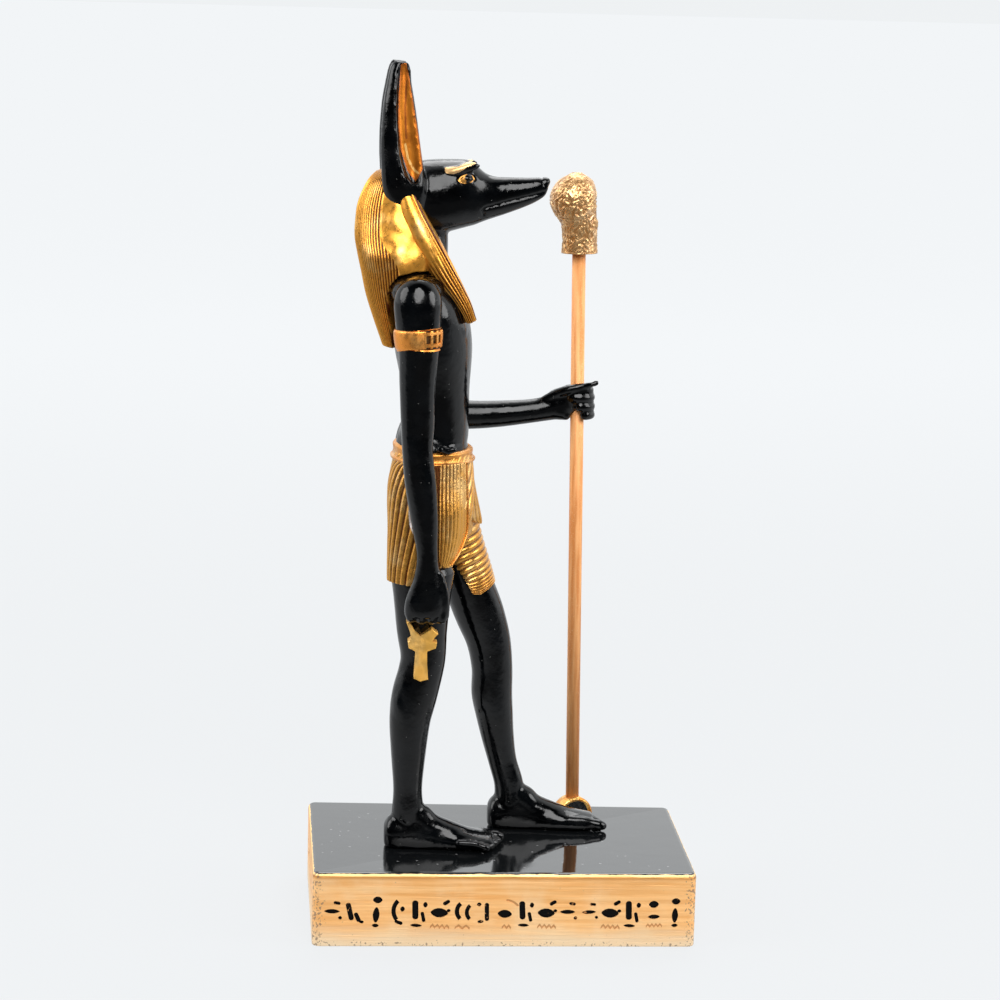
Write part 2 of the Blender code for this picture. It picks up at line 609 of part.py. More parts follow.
def build_knob(group, workshop):
    """The staff's rough-cast top: a round head over a short neck, leaning to the figure's side."""
    rows = [
        (0.1, 0, 0.00, 4.1, 4.3), (0.1, 0, 0.16, 4.0, 4.1), (0.0, 0, 0.36, 4.2, 4.4),
        (-0.9, 0, 0.48, 4.7, 5.0), (-1.5, 0, 0.62, 5.1, 5.5), (-1.4, 0, 0.76, 4.9, 5.3),
        (-1.0, 0, 0.90, 3.5, 4.0), (-0.7, 0, 1.00, 1.0, 1.1),
    ]
    thickness = KNOB_LENGTH / 19
    chance = random.Random(7)
    sides = 14
    base = staff_axis(KNOB_BASE)
    lean = Matrix.Rotation(-ROD_LEAN, 4, "Y")
    rings = []
    for x, y, share, side, front in between(rows, 2):
        ring = []
        for k in range(sides):
            turn = 2 * math.pi * k / sides
            rough = 1 + chance.uniform(-0.05, 0.05)
            local = Vector((
                (x + front * rough * math.cos(turn)) * thickness,
                side * rough * math.sin(turn) * thickness,
                share * KNOB_LENGTH,
            ))
            ring.append(base + lean @ local)
        rings.append(ring)
    knob = skin("staff_knob", rings, group)
    hole = round_bar("knob_hole", ROD_DIAMETER / 2 + ROD_CLEARANCE, KNOB_BASE - 0.002,
                     KNOB_BASE + KNOB_HOLE_DEPTH, workshop)
    return combine(knob, hole, "DIFFERENCE")


def main():
    clear_scene()
    statue = collection("anubis_statue")
    workshop = collection("workshop", hidden=True)
    lacquer = paint("black_lacquer", (0.010, 0.011, 0.012), 0.22, 0.0)
    gold = paint("gold_paint", (0.60, 0.33, 0.10), 0.38, 0.85)
    copper = paint("copper_paint", (0.55, 0.24, 0.09), 0.42, 0.75)
    foil = paint("pale_gold", (0.72, 0.48, 0.30), 0.35, 0.8)
    pieces = (
        (build_plinth(statue, workshop), gold),
        (build_figure(statue, workshop), lacquer),
        (build_rod(statue), copper),
        (build_knob(statue, workshop), foil),
    )
    for piece, finish in pieces:
        piece.data.materials.clear()
        piece.data.materials.append(finish)


main()
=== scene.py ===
"""The looks of a cast-resin statuette: a striding jackal-headed god with a tall staff and an ankh.

Black lacquer with gold and copper paint, on a plinth with a row of inked strokes. Metres, +Z up.
The figure walks towards +X, and its left side is +Y.
"""
import math

import bmesh
import bpy
import numpy as np
from mathutils import Matrix, Vector, noise as field


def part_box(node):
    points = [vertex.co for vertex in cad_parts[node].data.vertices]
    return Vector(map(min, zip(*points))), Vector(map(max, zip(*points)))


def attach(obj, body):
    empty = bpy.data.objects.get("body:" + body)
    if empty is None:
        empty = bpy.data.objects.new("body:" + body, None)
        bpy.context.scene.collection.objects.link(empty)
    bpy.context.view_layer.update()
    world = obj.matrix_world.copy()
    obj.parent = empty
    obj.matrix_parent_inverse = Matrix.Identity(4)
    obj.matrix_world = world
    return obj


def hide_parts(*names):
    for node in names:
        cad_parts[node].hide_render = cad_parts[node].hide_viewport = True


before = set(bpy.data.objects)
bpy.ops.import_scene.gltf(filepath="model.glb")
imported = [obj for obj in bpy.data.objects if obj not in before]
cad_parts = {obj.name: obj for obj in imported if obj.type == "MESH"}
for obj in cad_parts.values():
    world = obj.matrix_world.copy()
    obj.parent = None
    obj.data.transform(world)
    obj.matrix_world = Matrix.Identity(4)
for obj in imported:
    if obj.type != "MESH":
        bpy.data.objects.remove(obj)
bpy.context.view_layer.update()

# The camera stands where the photograph was taken from: level with the figure's right side, a
# little behind it, looking slightly down, and turned a touch about its own axis.
CAMERA_AZIMUTH = math.radians(-4.06)
CAMERA_ELEVATION = math.radians(10.3)
CAMERA_ROLL = math.radians(1.45)
CAMERA_DISTANCE = 0.650
CAMERA_TARGET = Vector((-0.0016, 0, 0.0992))
CAMERA_LENS = 100.7


def direction(azimuth, elevation):
    """The way from the object to a place at this azimuth and elevation, as a unit vector."""
    flat = math.cos(elevation)
    return Vector((math.sin(azimuth) * flat, -math.cos(azimuth) * flat, math.sin(elevation)))


def object_of(name, mesh):
    made = bpy.data.objects.new(name, mesh)
    bpy.context.scene.collection.objects.link(made)
    return made


towards_camera = direction(CAMERA_AZIMUTH, CAMERA_ELEVATION)
camera = object_of("camera", bpy.data.cameras.new("camera"))
camera.data.lens = CAMERA_LENS
camera.data.clip_start = 0.01
camera.location = CAMERA_TARGET + towards_camera * CAMERA_DISTANCE
camera.rotation_mode = "QUATERNION"
level_view = (-towards_camera).to_track_quat("-Z", "Y")
camera.rotation_quaternion = level_view @ Matrix.Rotation(CAMERA_ROLL, 3, "Z").to_quaternion()
bpy.context.scene.camera = camera
bpy.context.scene.view_settings.view_transform = "Standard"

# The studio: a pale table that runs back out of sight, white walls all round, a large soft lamp
# over the camera, one at each side and one behind. The room is dimmer where the photographer stands.
FLOOR_SIZE = 30.0
TABLE_LEVEL = 0.81
TABLE_FAR_LEVEL = 0.895
WALL_LEVEL = 0.90
# The light that table and room give: from where to where along y, and how much at each
TABLE_GLOW = (-0.03, -0.24, 0.70, 0.01)
ROOM_GLOW = (0.22, -0.28, 1.35, 0.015)
# Each lamp's name, azimuth, elevation, distance, width and power
LAMPS = (
    ("lamp_over_camera", math.radians(4), math.radians(36), 1.0, 0.75, 11.0),
    ("lamp_right", math.radians(72), math.radians(22), 0.9, 0.5, 4.0),
    ("lamp_left", math.radians(-78), math.radians(28), 0.9, 0.6, 4.5),
    ("lamp_behind", math.radians(170), math.radians(55), 1.1, 0.8, 6.0),
)


def add_node(tree, kind, inputs=None, **settings):
    """A node with its settings, and its inputs set to values or fed from sockets."""
    made = tree.nodes.new(kind)
    for name, value in settings.items():
        setattr(made, name, value)
    for key, value in (inputs or {}).items():
        if isinstance(value, bpy.types.NodeSocket):
            tree.links.new(value, made.inputs[key])
        else:
            made.inputs[key].default_value = value
    return made


def ramp(tree, value, low, high, start=0.0, end=1.0):
    """Start where the value is under low, end where it is over high, and smooth between."""
    return add_node(tree, "ShaderNodeMapRange", {
        "Value": value, 1: low, 2: high, 3: start, 4: end}, interpolation_type="SMOOTHSTEP").outputs[0]


def mixed(tree, share, first, second):
    """A number between two."""
    return add_node(tree, "ShaderNodeMix", {0: share, 2: first, 3: second}).outputs[0]


def seen_or_lit(tree, seen, lit):
    """One level where the camera looks straight at it, and another for the light that it gives."""
    straight = add_node(tree, "ShaderNodeLightPath").outputs["Is Camera Ray"]
    return mixed(tree, straight, lit, seen)


def feed(tree, shader, **inputs):
    """Links values to the shader's inputs."""
    for key, value in inputs.items():
        tree.links.new(value, shader.inputs[key.replace("_", " ")])


floor_mesh = bpy.data.meshes.new("floor")
floor_corners = [(x * FLOOR_SIZE, y * FLOOR_SIZE, 0) for x, y in ((-1, -1), (1, -1), (1, 1), (-1, 1))]
floor_mesh.from_pydata(floor_corners, [], [(0, 1, 2, 3)])
floor = object_of("floor", floor_mesh)
pale_table = bpy.data.materials.new("pale_table")
pale_table.use_nodes = True
table = pale_table.node_tree
table_shader = table.nodes["Principled BSDF"]
table_shader.inputs["Base Color"].default_value = (0.05, 0.05, 0.05, 1)
table_shader.inputs["Roughness"].default_value = 0.9
table_shader.inputs["Specular IOR Level"].default_value = 0.0
table_shader.inputs["Emission Color"].default_value = (0.955, 0.98, 1.0, 1)
table_place = add_node(table, "ShaderNodeTexCoord").outputs["Object"]
table_depth = add_node(table, "ShaderNodeSeparateXYZ", {0: table_place}).outputs["Y"]
table_seen = ramp(table, table_depth, 1.2, 0.1, TABLE_FAR_LEVEL, TABLE_LEVEL)
table_level = seen_or_lit(table, table_seen, ramp(table, table_depth, *TABLE_GLOW))
feed(table, table_shader, Emission_Strength=table_level)
floor_mesh.materials.append(pale_table)

world = bpy.data.worlds.new("studio")
world.use_nodes = True
bpy.context.scene.world = world
room = world.node_tree
room_way = add_node(room, "ShaderNodeTexCoord").outputs["Generated"]
room_depth = add_node(room, "ShaderNodeSeparateXYZ", {0: room_way}).outputs["Y"]
room_level = seen_or_lit(room, WALL_LEVEL, ramp(room, room_depth, *ROOM_GLOW))
background = room.nodes["Background"]
background.inputs["Color"].default_value = (0.955, 0.98, 0.995, 1)
room.links.new(room_level, background.inputs["Strength"])

for lamp_name, azimuth, elevation, distance, size, power in LAMPS:
    lamp_data = bpy.data.lights.new(lamp_name, "AREA")
    lamp_data.shape = "DISK"
    lamp_data.size = size
    lamp_data.energy = power
    lamp = object_of(lamp_name, lamp_data)
    aim = direction(azimuth, elevation)
    lamp.location = CAMERA_TARGET + aim * distance
    lamp.rotation_euler = aim.to_track_quat("Z", "Y").to_euler()

# The plinth: a cast-resin block. Its top is flooded with glossy black and its sides are brushed with
# peach gold. Along the rim a painted highlight runs over a band of painted shade. Shallow strokes are
# pressed into the sides and inked, with painted shade in their hollows.
MM = 0.001
block_low, block_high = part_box("plinth")
BLOCK_TOP = 17.5 * MM
BLOCK_CORNER = 1.8 * MM
BLOCK_RIM = 1.1 * MM
STROKE_DEPTH = 0.45 * MM
FAINT_DEPTH = 0.16 * MM
STROKE_ROW = 8.1 * MM
STROKE_PITCH = 4.9 * MM
STROKE_MARGIN = 2.2 * MM
CORNER_OUT = 1.1 * MM
CORNER_UP = 1.0 * MM
INK_DEPTH = 0.20 * MM


def mesh_of(name, shape):
    """A mesh from a bmesh, with its faces turned outwards."""
    bmesh.ops.recalc_face_normals(shape, faces=shape.faces)
    mesh = bpy.data.meshes.new(name)
    shape.to_mesh(mesh)
    shape.free()
    return mesh


def settle(piece):
    """The piece as a plain mesh, with its modifiers applied."""
    bpy.context.view_layer.update()
    ready = piece.evaluated_get(bpy.context.evaluated_depsgraph_get())
    mesh = bpy.data.meshes.new_from_object(ready)
    piece.modifiers.clear()
    piece.data = mesh
    return piece


def node_material(name, **plain):
    """A material, its node tree and its shader, with the inputs that are even all over set."""
    made = bpy.data.materials.new(name)
    made.use_nodes = True
    shader = made.node_tree.nodes["Principled BSDF"]
    for key, value in plain.items():
        shader.inputs[key.replace("_", " ")].default_value = value
    return made, made.node_tree, shader


def place_on(tree, stretch=(1, 1, 1)):
    """Places on the piece, in metres, squeezed along the axes where the stretch is over 1."""
    where = add_node(tree, "ShaderNodeTexCoord").outputs["Object"]
    return add_node(tree, "ShaderNodeMapping", {"Vector": where, "Scale": stretch}).outputs[0]


def noise(tree, spots, detail=3.0, stretch=(1, 1, 1)):
    """Cloudy noise from 0 to 1, with this many spots to the millimetre."""
    return add_node(tree, "ShaderNodeTexNoise", {
        "Vector": place_on(tree, stretch), "Scale": spots / MM, "Detail": detail}).outputs[0]


def blend(tree, share, first, second):
    """A colour between two."""
    first, second = (c if isinstance(c, bpy.types.NodeSocket) else (*c, 1) for c in (first, second))
    return add_node(tree, "ShaderNodeMix", {0: share, 6: first, 7: second}, data_type="RGBA").outputs[2]


def work_out(tree, operation, first, second=0.0):
    return add_node(tree, "ShaderNodeMath", {0: first, 1: second}, operation=operation).outputs[0]


def times(tree, first, second):
    return work_out(tree, "MULTIPLY", first, second)


def plus(tree, first, second):
    return work_out(tree, "ADD", first, second)


def minus(tree, first, second):
    return work_out(tree, "SUBTRACT", first, second)


def larger(tree, first, second):
    return work_out(tree, "MAXIMUM", first, second)


def marked(tree, name):
    """A number kept on the mesh for each vertex."""
    return add_node(tree, "ShaderNodeAttribute", attribute_name=name).outputs["Fac"]


def emboss(tree, shader, height, depth):
    """Relief that is too fine for the mesh. Depth is how high it stands, in millimetres."""
    bump = add_node(tree, "ShaderNodeBump", {"Height": height, "Distance": depth * MM})
    feed(tree, shader, Normal=bump.outputs[0])


def dust(tree, spots, share):
    """Scattered specks: 1 on a speck and 0 elsewhere."""
    cells = add_node(tree, "ShaderNodeTexVoronoi", {
        "Vector": place_on(tree), "Scale": spots / MM, "Randomness": 1.0})
    speck = ramp(tree, cells.outputs["Distance"], 0.10, 0.16, 1, 0)
    few = add_node(tree, "ShaderNodeSeparateColor", {0: cells.outputs["Color"]}).outputs[0]
    return times(tree, speck, ramp(tree, few, share, share + 0.02, 1, 0))


def stroke_shapes(group):
    """Flat stamps for the strokes: bars, dashes, dots, leaves and arcs, which spell nothing."""
    def stamp(outlines, faint=()):
        shape = bmesh.new()
        for outline in (*outlines, *faint):
            deep = FAINT_DEPTH if outline in faint else STROKE_DEPTH
            low = [shape.verts.new((x * MM, -STROKE_DEPTH, z * MM)) for x, z in outline]
            high = [shape.verts.new((x * MM, deep, z * MM)) for x, z in outline]
            shape.faces.new(low)
            shape.faces.new(list(reversed(high)))
            for k in range(len(low)):
                n = (k + 1) % len(low)
                shape.faces.new((low[k], high[k], high[n], low[n]))
        made = bpy.data.objects.new("stroke", mesh_of("stroke", shape))
        group.objects.link(made)

    def bar(x, z, wide, tall, turn=0.0, sides=12):
        """A bar with round ends."""
        thin, long = min(wide, tall) / 2, max(wide, tall) / 2
        turn += 0 if wide > tall else math.pi / 2
        points = []
        for k in range(sides):
            a = 2 * math.pi * (k + 0.5) / sides
            u = thin * math.cos(a) + math.copysign(long - thin, math.cos(a))
            v = thin * math.sin(a)
            points.append((x + u * math.cos(turn) - v * math.sin(turn),
                           z + u * math.sin(turn) + v * math.cos(turn)))
        return points

    def leaf(x, z, wide, tall, sides=14):
        return [(x + wide / 2 * math.cos(2 * math.pi * k / sides),
                 z + tall / 2 * math.copysign(abs(math.sin(2 * math.pi * k / sides)) ** 1.4,
                                              math.sin(2 * math.pi * k / sides)))
                for k in range(sides)]

    def arc(x, z, reach, start, end, thick, steps=8):
        turns = [start + (end - start) * k / steps for k in range(steps + 1)]
        outer = [(x + reach * math.cos(t), z + reach * math.sin(t)) for t in turns]
        inner = [(x + (reach - thick) * math.cos(t), z + (reach - thick) * math.sin(t))
                 for t in reversed(turns)]
        return outer + inner

    def wave(x, z, wide, teeth=4, thick=0.6):
        """A low zigzag line, left without ink, though painted shade darkens it."""
        top = [(x - wide / 2 + wide * k / (2 * teeth), z + (0.32 if k % 2 else -0.32) + thick / 2)
               for k in range(2 * teeth + 1)]
        return top + [(u, v - thick) for u, v in reversed(top)]

    stamp([leaf(0, -0.5, 1.5, 3.6), leaf(0.1, 2.9, 2.1, 1.6), leaf(0.0, -2.9, 1.5, 0.9)])
    stamp([leaf(-0.3, 0.0, 3.9, 2.2), bar(1.1, 2.4, 1.7, 0.9, 0.6), leaf(1.7, 0.6, 0.9, 0.8)],
          [wave(0, -3.1, 4.2)])
    stamp([arc(2.2, 0.6, 3.6, 2.45, 3.9, 0.9), leaf(0.9, 0.9, 1.0, 1.2), bar(0.4, -2.1, 1.8, 0.8, -0.3)])
    stamp([leaf(-0.3, 0.3, 3.6, 1.1), bar(0.8, 2.3, 1.6, 0.8, -0.15), leaf(1.6, -1.2, 0.9, 0.9)])
    stamp([bar(-1.2, 0.3, 1.3, 4.6, 0.20), bar(0.6, -1.2, 1.1, 2.6, 0.40), leaf(1.6, -2.4, 1.2, 0.8)])
    stamp([arc(1.2, 0.4, 2.9, 2.3, 4.0, 1.0), arc(3.2, 0.2, 2.6, 2.3, 4.0, 0.9)], [wave(0.2, -3.3, 3.4, 2)])
    stamp([leaf(0, -0.2, 3.2, 1.9)], [arc(0.2, -0.4, 3.6, 0.7, 1.6, 0.5), wave(0.6, -3.1, 2.0, 2)])
    stamp([bar(-1.5, 0.9, 0.9, 2.8), bar(-0.1, 1.2, 0.9, 3.2, 0.06), bar(1.3, 0.9, 1.0, 2.7, -0.05),
           leaf(0.1, -2.2, 3.0, 1.1)])
    stamp([leaf(0, 2.3, 2.5, 1.9), leaf(0, -0.9, 3.0, 1.2)], [wave(0, -3.1, 4.0)])
    stamp([leaf(0, 1.5, 1.1, 1.0), leaf(0, -1.6, 1.6, 0.8)], [
        arc(0, -0.4, 2.2, 0.3, 2.9, 0.4), arc(0, -0.4, 2.2, 3.5, 5.9, 0.4)])
    stamp([bar(-0.9, 0.6, 1.4, 4.4, 0.08), bar(0.9, -0.9, 0.8, 2.4, 0.25), leaf(1.2, 1.9, 1.0, 1.3),
           leaf(-0.5, -2.9, 2.6, 0.8)])
    stamp([bar(0.9, 0.2, 1.2, 5.0, -0.05), leaf(-1.0, 2.4, 1.2, 1.1), leaf(-0.9, -2.3, 1.7, 0.9)])


def geometry_tree(name, **sockets):
    """A geometry node tree with these inputs, each of a kind, and what its input node gives."""
    tree = bpy.data.node_groups.new(name, "GeometryNodeTree")
    for key, kind in (("Geometry", "Geometry"), *sockets.items(), ("Material", "Material")):
        tree.interface.new_socket(key, in_out="INPUT", socket_type="NodeSocket" + kind)
    tree.interface.new_socket("Geometry", in_out="OUTPUT", socket_type="NodeSocketGeometry")
    return tree, add_node(tree, "NodeGroupInput").outputs


def end_tree(tree, given, geometry):
    """Ends a geometry node tree in real geometry with its material set."""
    real = add_node(tree, "GeometryNodeRealizeInstances", {0: geometry})
    dressed = add_node(tree, "GeometryNodeSetMaterial", {0: real.outputs[0], "Material": given["Material"]})
    add_node(tree, "NodeGroupOutput", {0: dressed.outputs[0]})
    return tree


def stroke_row_tree():
    """Geometry nodes: stamps picked at random, one to each place along a straight row."""
    tree, given = geometry_tree("stroke row", Stamps="Collection", Count="Int", Pitch="Float", Seed="Int")
    count, pitch = given["Count"], given["Pitch"]
    step = add_node(tree, "ShaderNodeCombineXYZ", {0: pitch}).outputs[0]
    span = times(tree, minus(tree, count, 1.0), pitch)
    start = add_node(tree, "ShaderNodeCombineXYZ", {0: times(tree, span, -0.5)})
    line = add_node(tree, "GeometryNodeMeshLine", {
        "Count": count, "Start Location": start.outputs[0], "Offset": step})
    stamps = add_node(tree, "GeometryNodeCollectionInfo", {
        "Collection": given["Stamps"], "Separate Children": True, "Reset Children": True})
    pick = add_node(tree, "FunctionNodeRandomValue", {4: 0, 5: 999, "Seed": given["Seed"]}, data_type="INT")
    swell = add_node(tree, "FunctionNodeRandomValue", {2: 0.84, 3: 1.10, "Seed": given["Seed"]})
    lean = add_node(tree, "FunctionNodeRandomValue", {2: -0.10, 3: 0.10, "Seed": given["Seed"]})
    turned = add_node(tree, "ShaderNodeCombineXYZ", {1: lean.outputs[1]})
    placed = add_node(tree, "GeometryNodeInstanceOnPoints", {
        "Points": line.outputs[0], "Instance": stamps.outputs[0], "Pick Instance": True,
        "Instance Index": pick.outputs[2], "Scale": swell.outputs[1], "Rotation": turned.outputs[0]})
    return end_tree(tree, given, placed.outputs[0])


def cut_away(piece, tool, crossing=False):
    """Cuts a tool out of a piece. Crossing says that the tool's own parts may overlap."""
    cut = piece.modifiers.new("cut", "BOOLEAN")
    cut.operation = "DIFFERENCE"
    cut.solver = "EXACT"
    cut.use_self = crossing
    cut.object = tool
    settle(piece)
    bpy.data.objects.remove(tool)


def hand_over(piece, node):
    """Hands a finished piece over: it rides the only body and stands for a node, whose part is hidden."""
    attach(piece, "root")
    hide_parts(node)


def grown(name, tree, inputs, mesh=None):
    """A plain mesh object made by a geometry node tree from named inputs, and a mesh to start from."""
    made = object_of(name, mesh or bpy.data.meshes.new(name))
    modifier = made.modifiers.new(name, "NODES")
    modifier.node_group = tree
    for item in tree.interface.items_tree:
        if item.item_type == "SOCKET" and item.in_out == "INPUT" and item.name in inputs:
            modifier[item.identifier] = inputs[item.name]
    return settle(made)


stamp_group = bpy.data.collections.new("stroke stamps")
stroke_shapes(stamp_group)
stroke_tree = stroke_row_tree()
bare_cast = bpy.data.materials.new("bare_cast")

block_shape = bmesh.new()
bmesh.ops.create_cube(block_shape, size=1.0)
block_length, block_depth = block_high.x - block_low.x, block_high.y - block_low.y
bmesh.ops.scale(block_shape, vec=(block_length, block_depth, BLOCK_TOP), verts=block_shape.verts)
bmesh.ops.translate(block_shape, vec=(0, 0, BLOCK_TOP / 2), verts=block_shape.verts)
upright_edges = [e for e in block_shape.edges if abs(e.verts[0].co.z - e.verts[1].co.z) > BLOCK_TOP / 2]
bmesh.ops.bevel(block_shape, geom=upright_edges, offset=BLOCK_CORNER, segments=8, profile=0.5,
                affect="EDGES")
for height, width, steps in ((BLOCK_TOP, BLOCK_RIM, 6), (0.0, 0.3 * MM, 2)):
    rim_edges = [e for e in block_shape.edges if all(abs(v.co.z - height) < 1e-6 for v in e.verts)]
    bmesh.ops.bevel(block_shape, geom=rim_edges, offset=width, segments=steps, profile=0.5,
                    affect="EDGES")
plinth = object_of("plinth_block", mesh_of("plinth_block", block_shape))

row_sides = (
    (0.0, block_length, block_depth / 2, 11), (math.pi, block_length, block_depth / 2, 23),
    (math.pi / 2, block_depth, block_length / 2, 5), (-math.pi / 2, block_depth, block_length / 2, 31),
)
for turn, length, reach, seed in row_sides:
    row = grown("stroke_row", stroke_tree, {
        "Stamps": stamp_group, "Count": int((length - 2 * STROKE_MARGIN) / STROKE_PITCH),
        "Pitch": STROKE_PITCH, "Seed": seed, "Material": bare_cast})
    row.data.transform(Matrix.Rotation(turn, 4, "Z") @ Matrix.Translation((0, -reach, STROKE_ROW)))
    cut_away(plinth, row, crossing=True)

# The cast is a little out of square: its back left corner stands out and up. How far in from the
# sides and how high each point was before that is kept, to tell the paints apart
inset = plinth.data.attributes.new("inset", "FLOAT", "POINT")
level = plinth.data.attributes.new("level", "FLOAT", "POINT")
for vertex in plinth.data.vertices:
    place = vertex.co
    inset.data[vertex.index].value = min(block_length / 2 - abs(place.x), block_depth / 2 - abs(place.y))
    level.data[vertex.index].value = place.z
    corner = max(0.0, 0.5 - place.x / block_length) * max(0.0, 0.5 + place.y / block_depth)
    place.x -= CORNER_OUT * corner ** 2
    place.z += CORNER_UP * corner ** 2 * place.z / BLOCK_TOP


def plinth_paint():
    """Peach gold brushed level along the sides, ink in the strokes with painted shade in their hollows,
    a painted highlight along the rim over a band of painted shade, worn spots and black over the top,
    all told apart by the place on the block."""
    made, tree, shader = node_material("plinth_paint")
    where = add_node(tree, "ShaderNodeTexCoord").outputs["Object"]
    x, y = add_node(tree, "ShaderNodeSeparateXYZ", {0: where}).outputs[:2]
    z = marked(tree, "level")
    depth = marked(tree, "inset")
    along_x, along_y = (work_out(tree, "ABSOLUTE", v) for v in (x, y))
    in_x = minus(tree, block_length / 2, along_x)
    in_y = minus(tree, block_depth / 2, along_y)
    to_corner = larger(tree, in_x, in_y)
    streaks = noise(tree, 1.0, 6, stretch=(0.05, 0.05, 1.0))
    fine_streaks = noise(tree, 3.0, 4, stretch=(0.03, 0.03, 1.0))
    cloud = noise(tree, 0.10, 4)
    gold = blend(tree, ramp(tree, streaks, 0.30, 0.70), (0.86, 0.42, 0.125), (0.99, 0.56, 0.22))
    gold = blend(tree, ramp(tree, cloud, 0.42, 0.72, 0.0, 0.6), gold, (0.95, 0.66, 0.36))
    low = ramp(tree, plus(tree, z, times(tree, streaks, 5 * MM)), 2.5 * MM, 8.5 * MM, 0.85, 0.0)
    gold = blend(tree, low, gold, (0.86, 0.68, 0.45))
    # Painted shade: a darker orange band just under the rounded rim
    rim = ramp(tree, z, BLOCK_TOP - 2.0 * MM, BLOCK_TOP - 0.9 * MM)
    gold = blend(tree, rim, gold, (0.62, 0.27, 0.06))
    # Painted highlight: a bright line along the rounded top edge
    edge = ramp(tree, z, BLOCK_TOP - 0.9 * MM, BLOCK_TOP - 0.55 * MM)
    gold = blend(tree, edge, gold, (0.95, 0.62, 0.25))
    near_corner = ramp(tree, to_corner, 1.0 * MM, 4.0 * MM, 1, 0)
    near_edge = larger(tree, near_corner, ramp(tree, z, 0.8 * MM, 2.0 * MM, 0.7, 0.0))
    spots = plus(tree, noise(tree, 1.6, 5), times(tree, near_edge, 0.17))
    worn = ramp(tree, spots, 0.70, 0.76)
    gold = blend(tree, times(tree, worn, 0.75), gold, (0.10, 0.06, 0.035))
    patchy = times(tree, ramp(tree, noise(tree, 1.3, 4), 0.50, 0.72), 0.22 * MM)
    sunk = minus(tree, depth, patchy)
    field = times(tree, ramp(tree, z, 1.0 * MM, 1.2 * MM), ramp(
        tree, z, BLOCK_TOP - 1.6 * MM, BLOCK_TOP - 1.4 * MM, 1, 0))
    field = times(tree, field, ramp(
        tree, to_corner, STROKE_MARGIN * 0.6, STROKE_MARGIN * 0.6 + 0.1 * MM))
    inked = times(tree, field, ramp(tree, sunk, INK_DEPTH, INK_DEPTH + 0.06 * MM))
    # Painted shade: the sides darken wherever they are sunk into strokes, faint ones too
    sunk_shade = times(tree, field, ramp(tree, depth, 0.03 * MM, 0.15 * MM, 0.0, 0.75))
    side = blend(tree, sunk_shade, gold, (0.50, 0.22, 0.065))
    side = blend(tree, inked, side, (0.001, 0.001, 0.0012))
    wobble = times(tree, noise(tree, 0.5, 4), 0.5 * MM)
    on_top = ramp(tree, plus(tree, z, wobble), BLOCK_TOP - 0.10 * MM, BLOCK_TOP)
    specks = dust(tree, 0.45, 0.30)
    black = blend(tree, times(tree, specks, 0.6), (0.004, 0.0045, 0.005), (0.22, 0.22, 0.22))
    feed(tree, shader, Base_Color=blend(tree, on_top, side, black))
    dark = larger(tree, on_top, inked)
    metal = times(tree, ramp(tree, dark, 0.0, 1.0, 1, 0), minus(tree, 0.55, times(tree, worn, 0.5)))
    feed(tree, shader, Metallic=metal)
    matt = ramp(tree, fine_streaks, 0.3, 0.7, 0.36, 0.56)
    gloss = ramp(tree, noise(tree, 0.08, 4), 0.40, 0.70, 0.045, 0.12)
    matt = larger(tree, matt, times(tree, inked, 0.6))
    rough = mixed(tree, on_top, matt, gloss)
    feed(tree, shader, Specular_IOR_Level=ramp(tree, inked, 0, 1, 1.0, 0.1))
    feed(tree, shader, Roughness=rough)
    brushed = times(tree, plus(tree, fine_streaks, streaks), ramp(tree, on_top, 0, 1, 1.0, 0.03))
    emboss(tree, shader, plus(tree, brushed, times(tree, noise(tree, 0.10, 2), 0.5)), 0.09)
    return made


plinth.data.materials.clear()
plinth.data.materials.append(plinth_paint())
for polygon in plinth.data.polygons:
    polygon.material_index = 0
    polygon.use_smooth = False
hand_over(plinth, "plinth")

# The lug that the staff stands in: a half disc cast on the plinth, gold round its rim and black on
# its faces, turned a little towards the camera.
LUG_RADIUS = 4.7 * MM
LUG_HALF = 2.1 * MM
LUG_TURN = math.radians(20)
LUG_PLACE = Vector((19.6 * MM, 21.6 * MM, BLOCK_TOP))
LUG_STEPS = 48


def skin(name, rings, tone=None):
    """A closed shape through rings of equally many places. Tone is a number for each of them,
    kept on the mesh as its relief: 0 in a groove and 1 on a ridge."""
    shape = bmesh.new()
    loops = [[shape.verts.new(place) for place in ring] for ring in rings]
    for low, high in zip(loops, loops[1:]):
        for k in range(len(low)):
            n = (k + 1) % len(low)
            shape.faces.new((low[k], low[n], high[n], high[k]))
    shape.faces.new(loops[0])
    shape.faces.new(list(reversed(loops[-1])))
    mesh = mesh_of(name, shape)
    if tone is not None:
        relief = mesh.attributes.new("relief", "FLOAT", "POINT")
        relief.data.foreach_set("value", [value for ring in tone for value in ring])
    return object_of(name, mesh)


lug_rings = []
for across, shrink in ((-1, 0.55), (-1, 0.35), (-0.75, 0.0), (0.75, 0.0), (1, 0.35), (1, 0.55)):
    ring = []
    for k in range(LUG_STEPS + 1):
        turn = math.pi * k / LUG_STEPS
        reach = LUG_RADIUS - shrink * MM
        ring.append(Matrix.Translation(LUG_PLACE) @ Matrix.Rotation(LUG_TURN, 4, "Z") @ Vector((
            reach * math.cos(turn), across * LUG_HALF, reach * math.sin(turn) - 0.4 * MM)))
    lug_rings.append(ring)
lug = skin("staff_lug", lug_rings)
lug_paint, lug_tree, lug_shader = node_material("lug_paint")
lug_where = add_node(lug_tree, "ShaderNodeMapping", {
    "Vector": add_node(lug_tree, "ShaderNodeTexCoord").outputs["Object"], "Location": -LUG_PLACE},
    vector_type="POINT").outputs[0]
lug_far = add_node(lug_tree, "ShaderNodeVectorMath", {0: lug_where}, operation="LENGTH").outputs["Value"]
wavy = times(lug_tree, noise(lug_tree, 0.8, 3), 0.5 * MM)
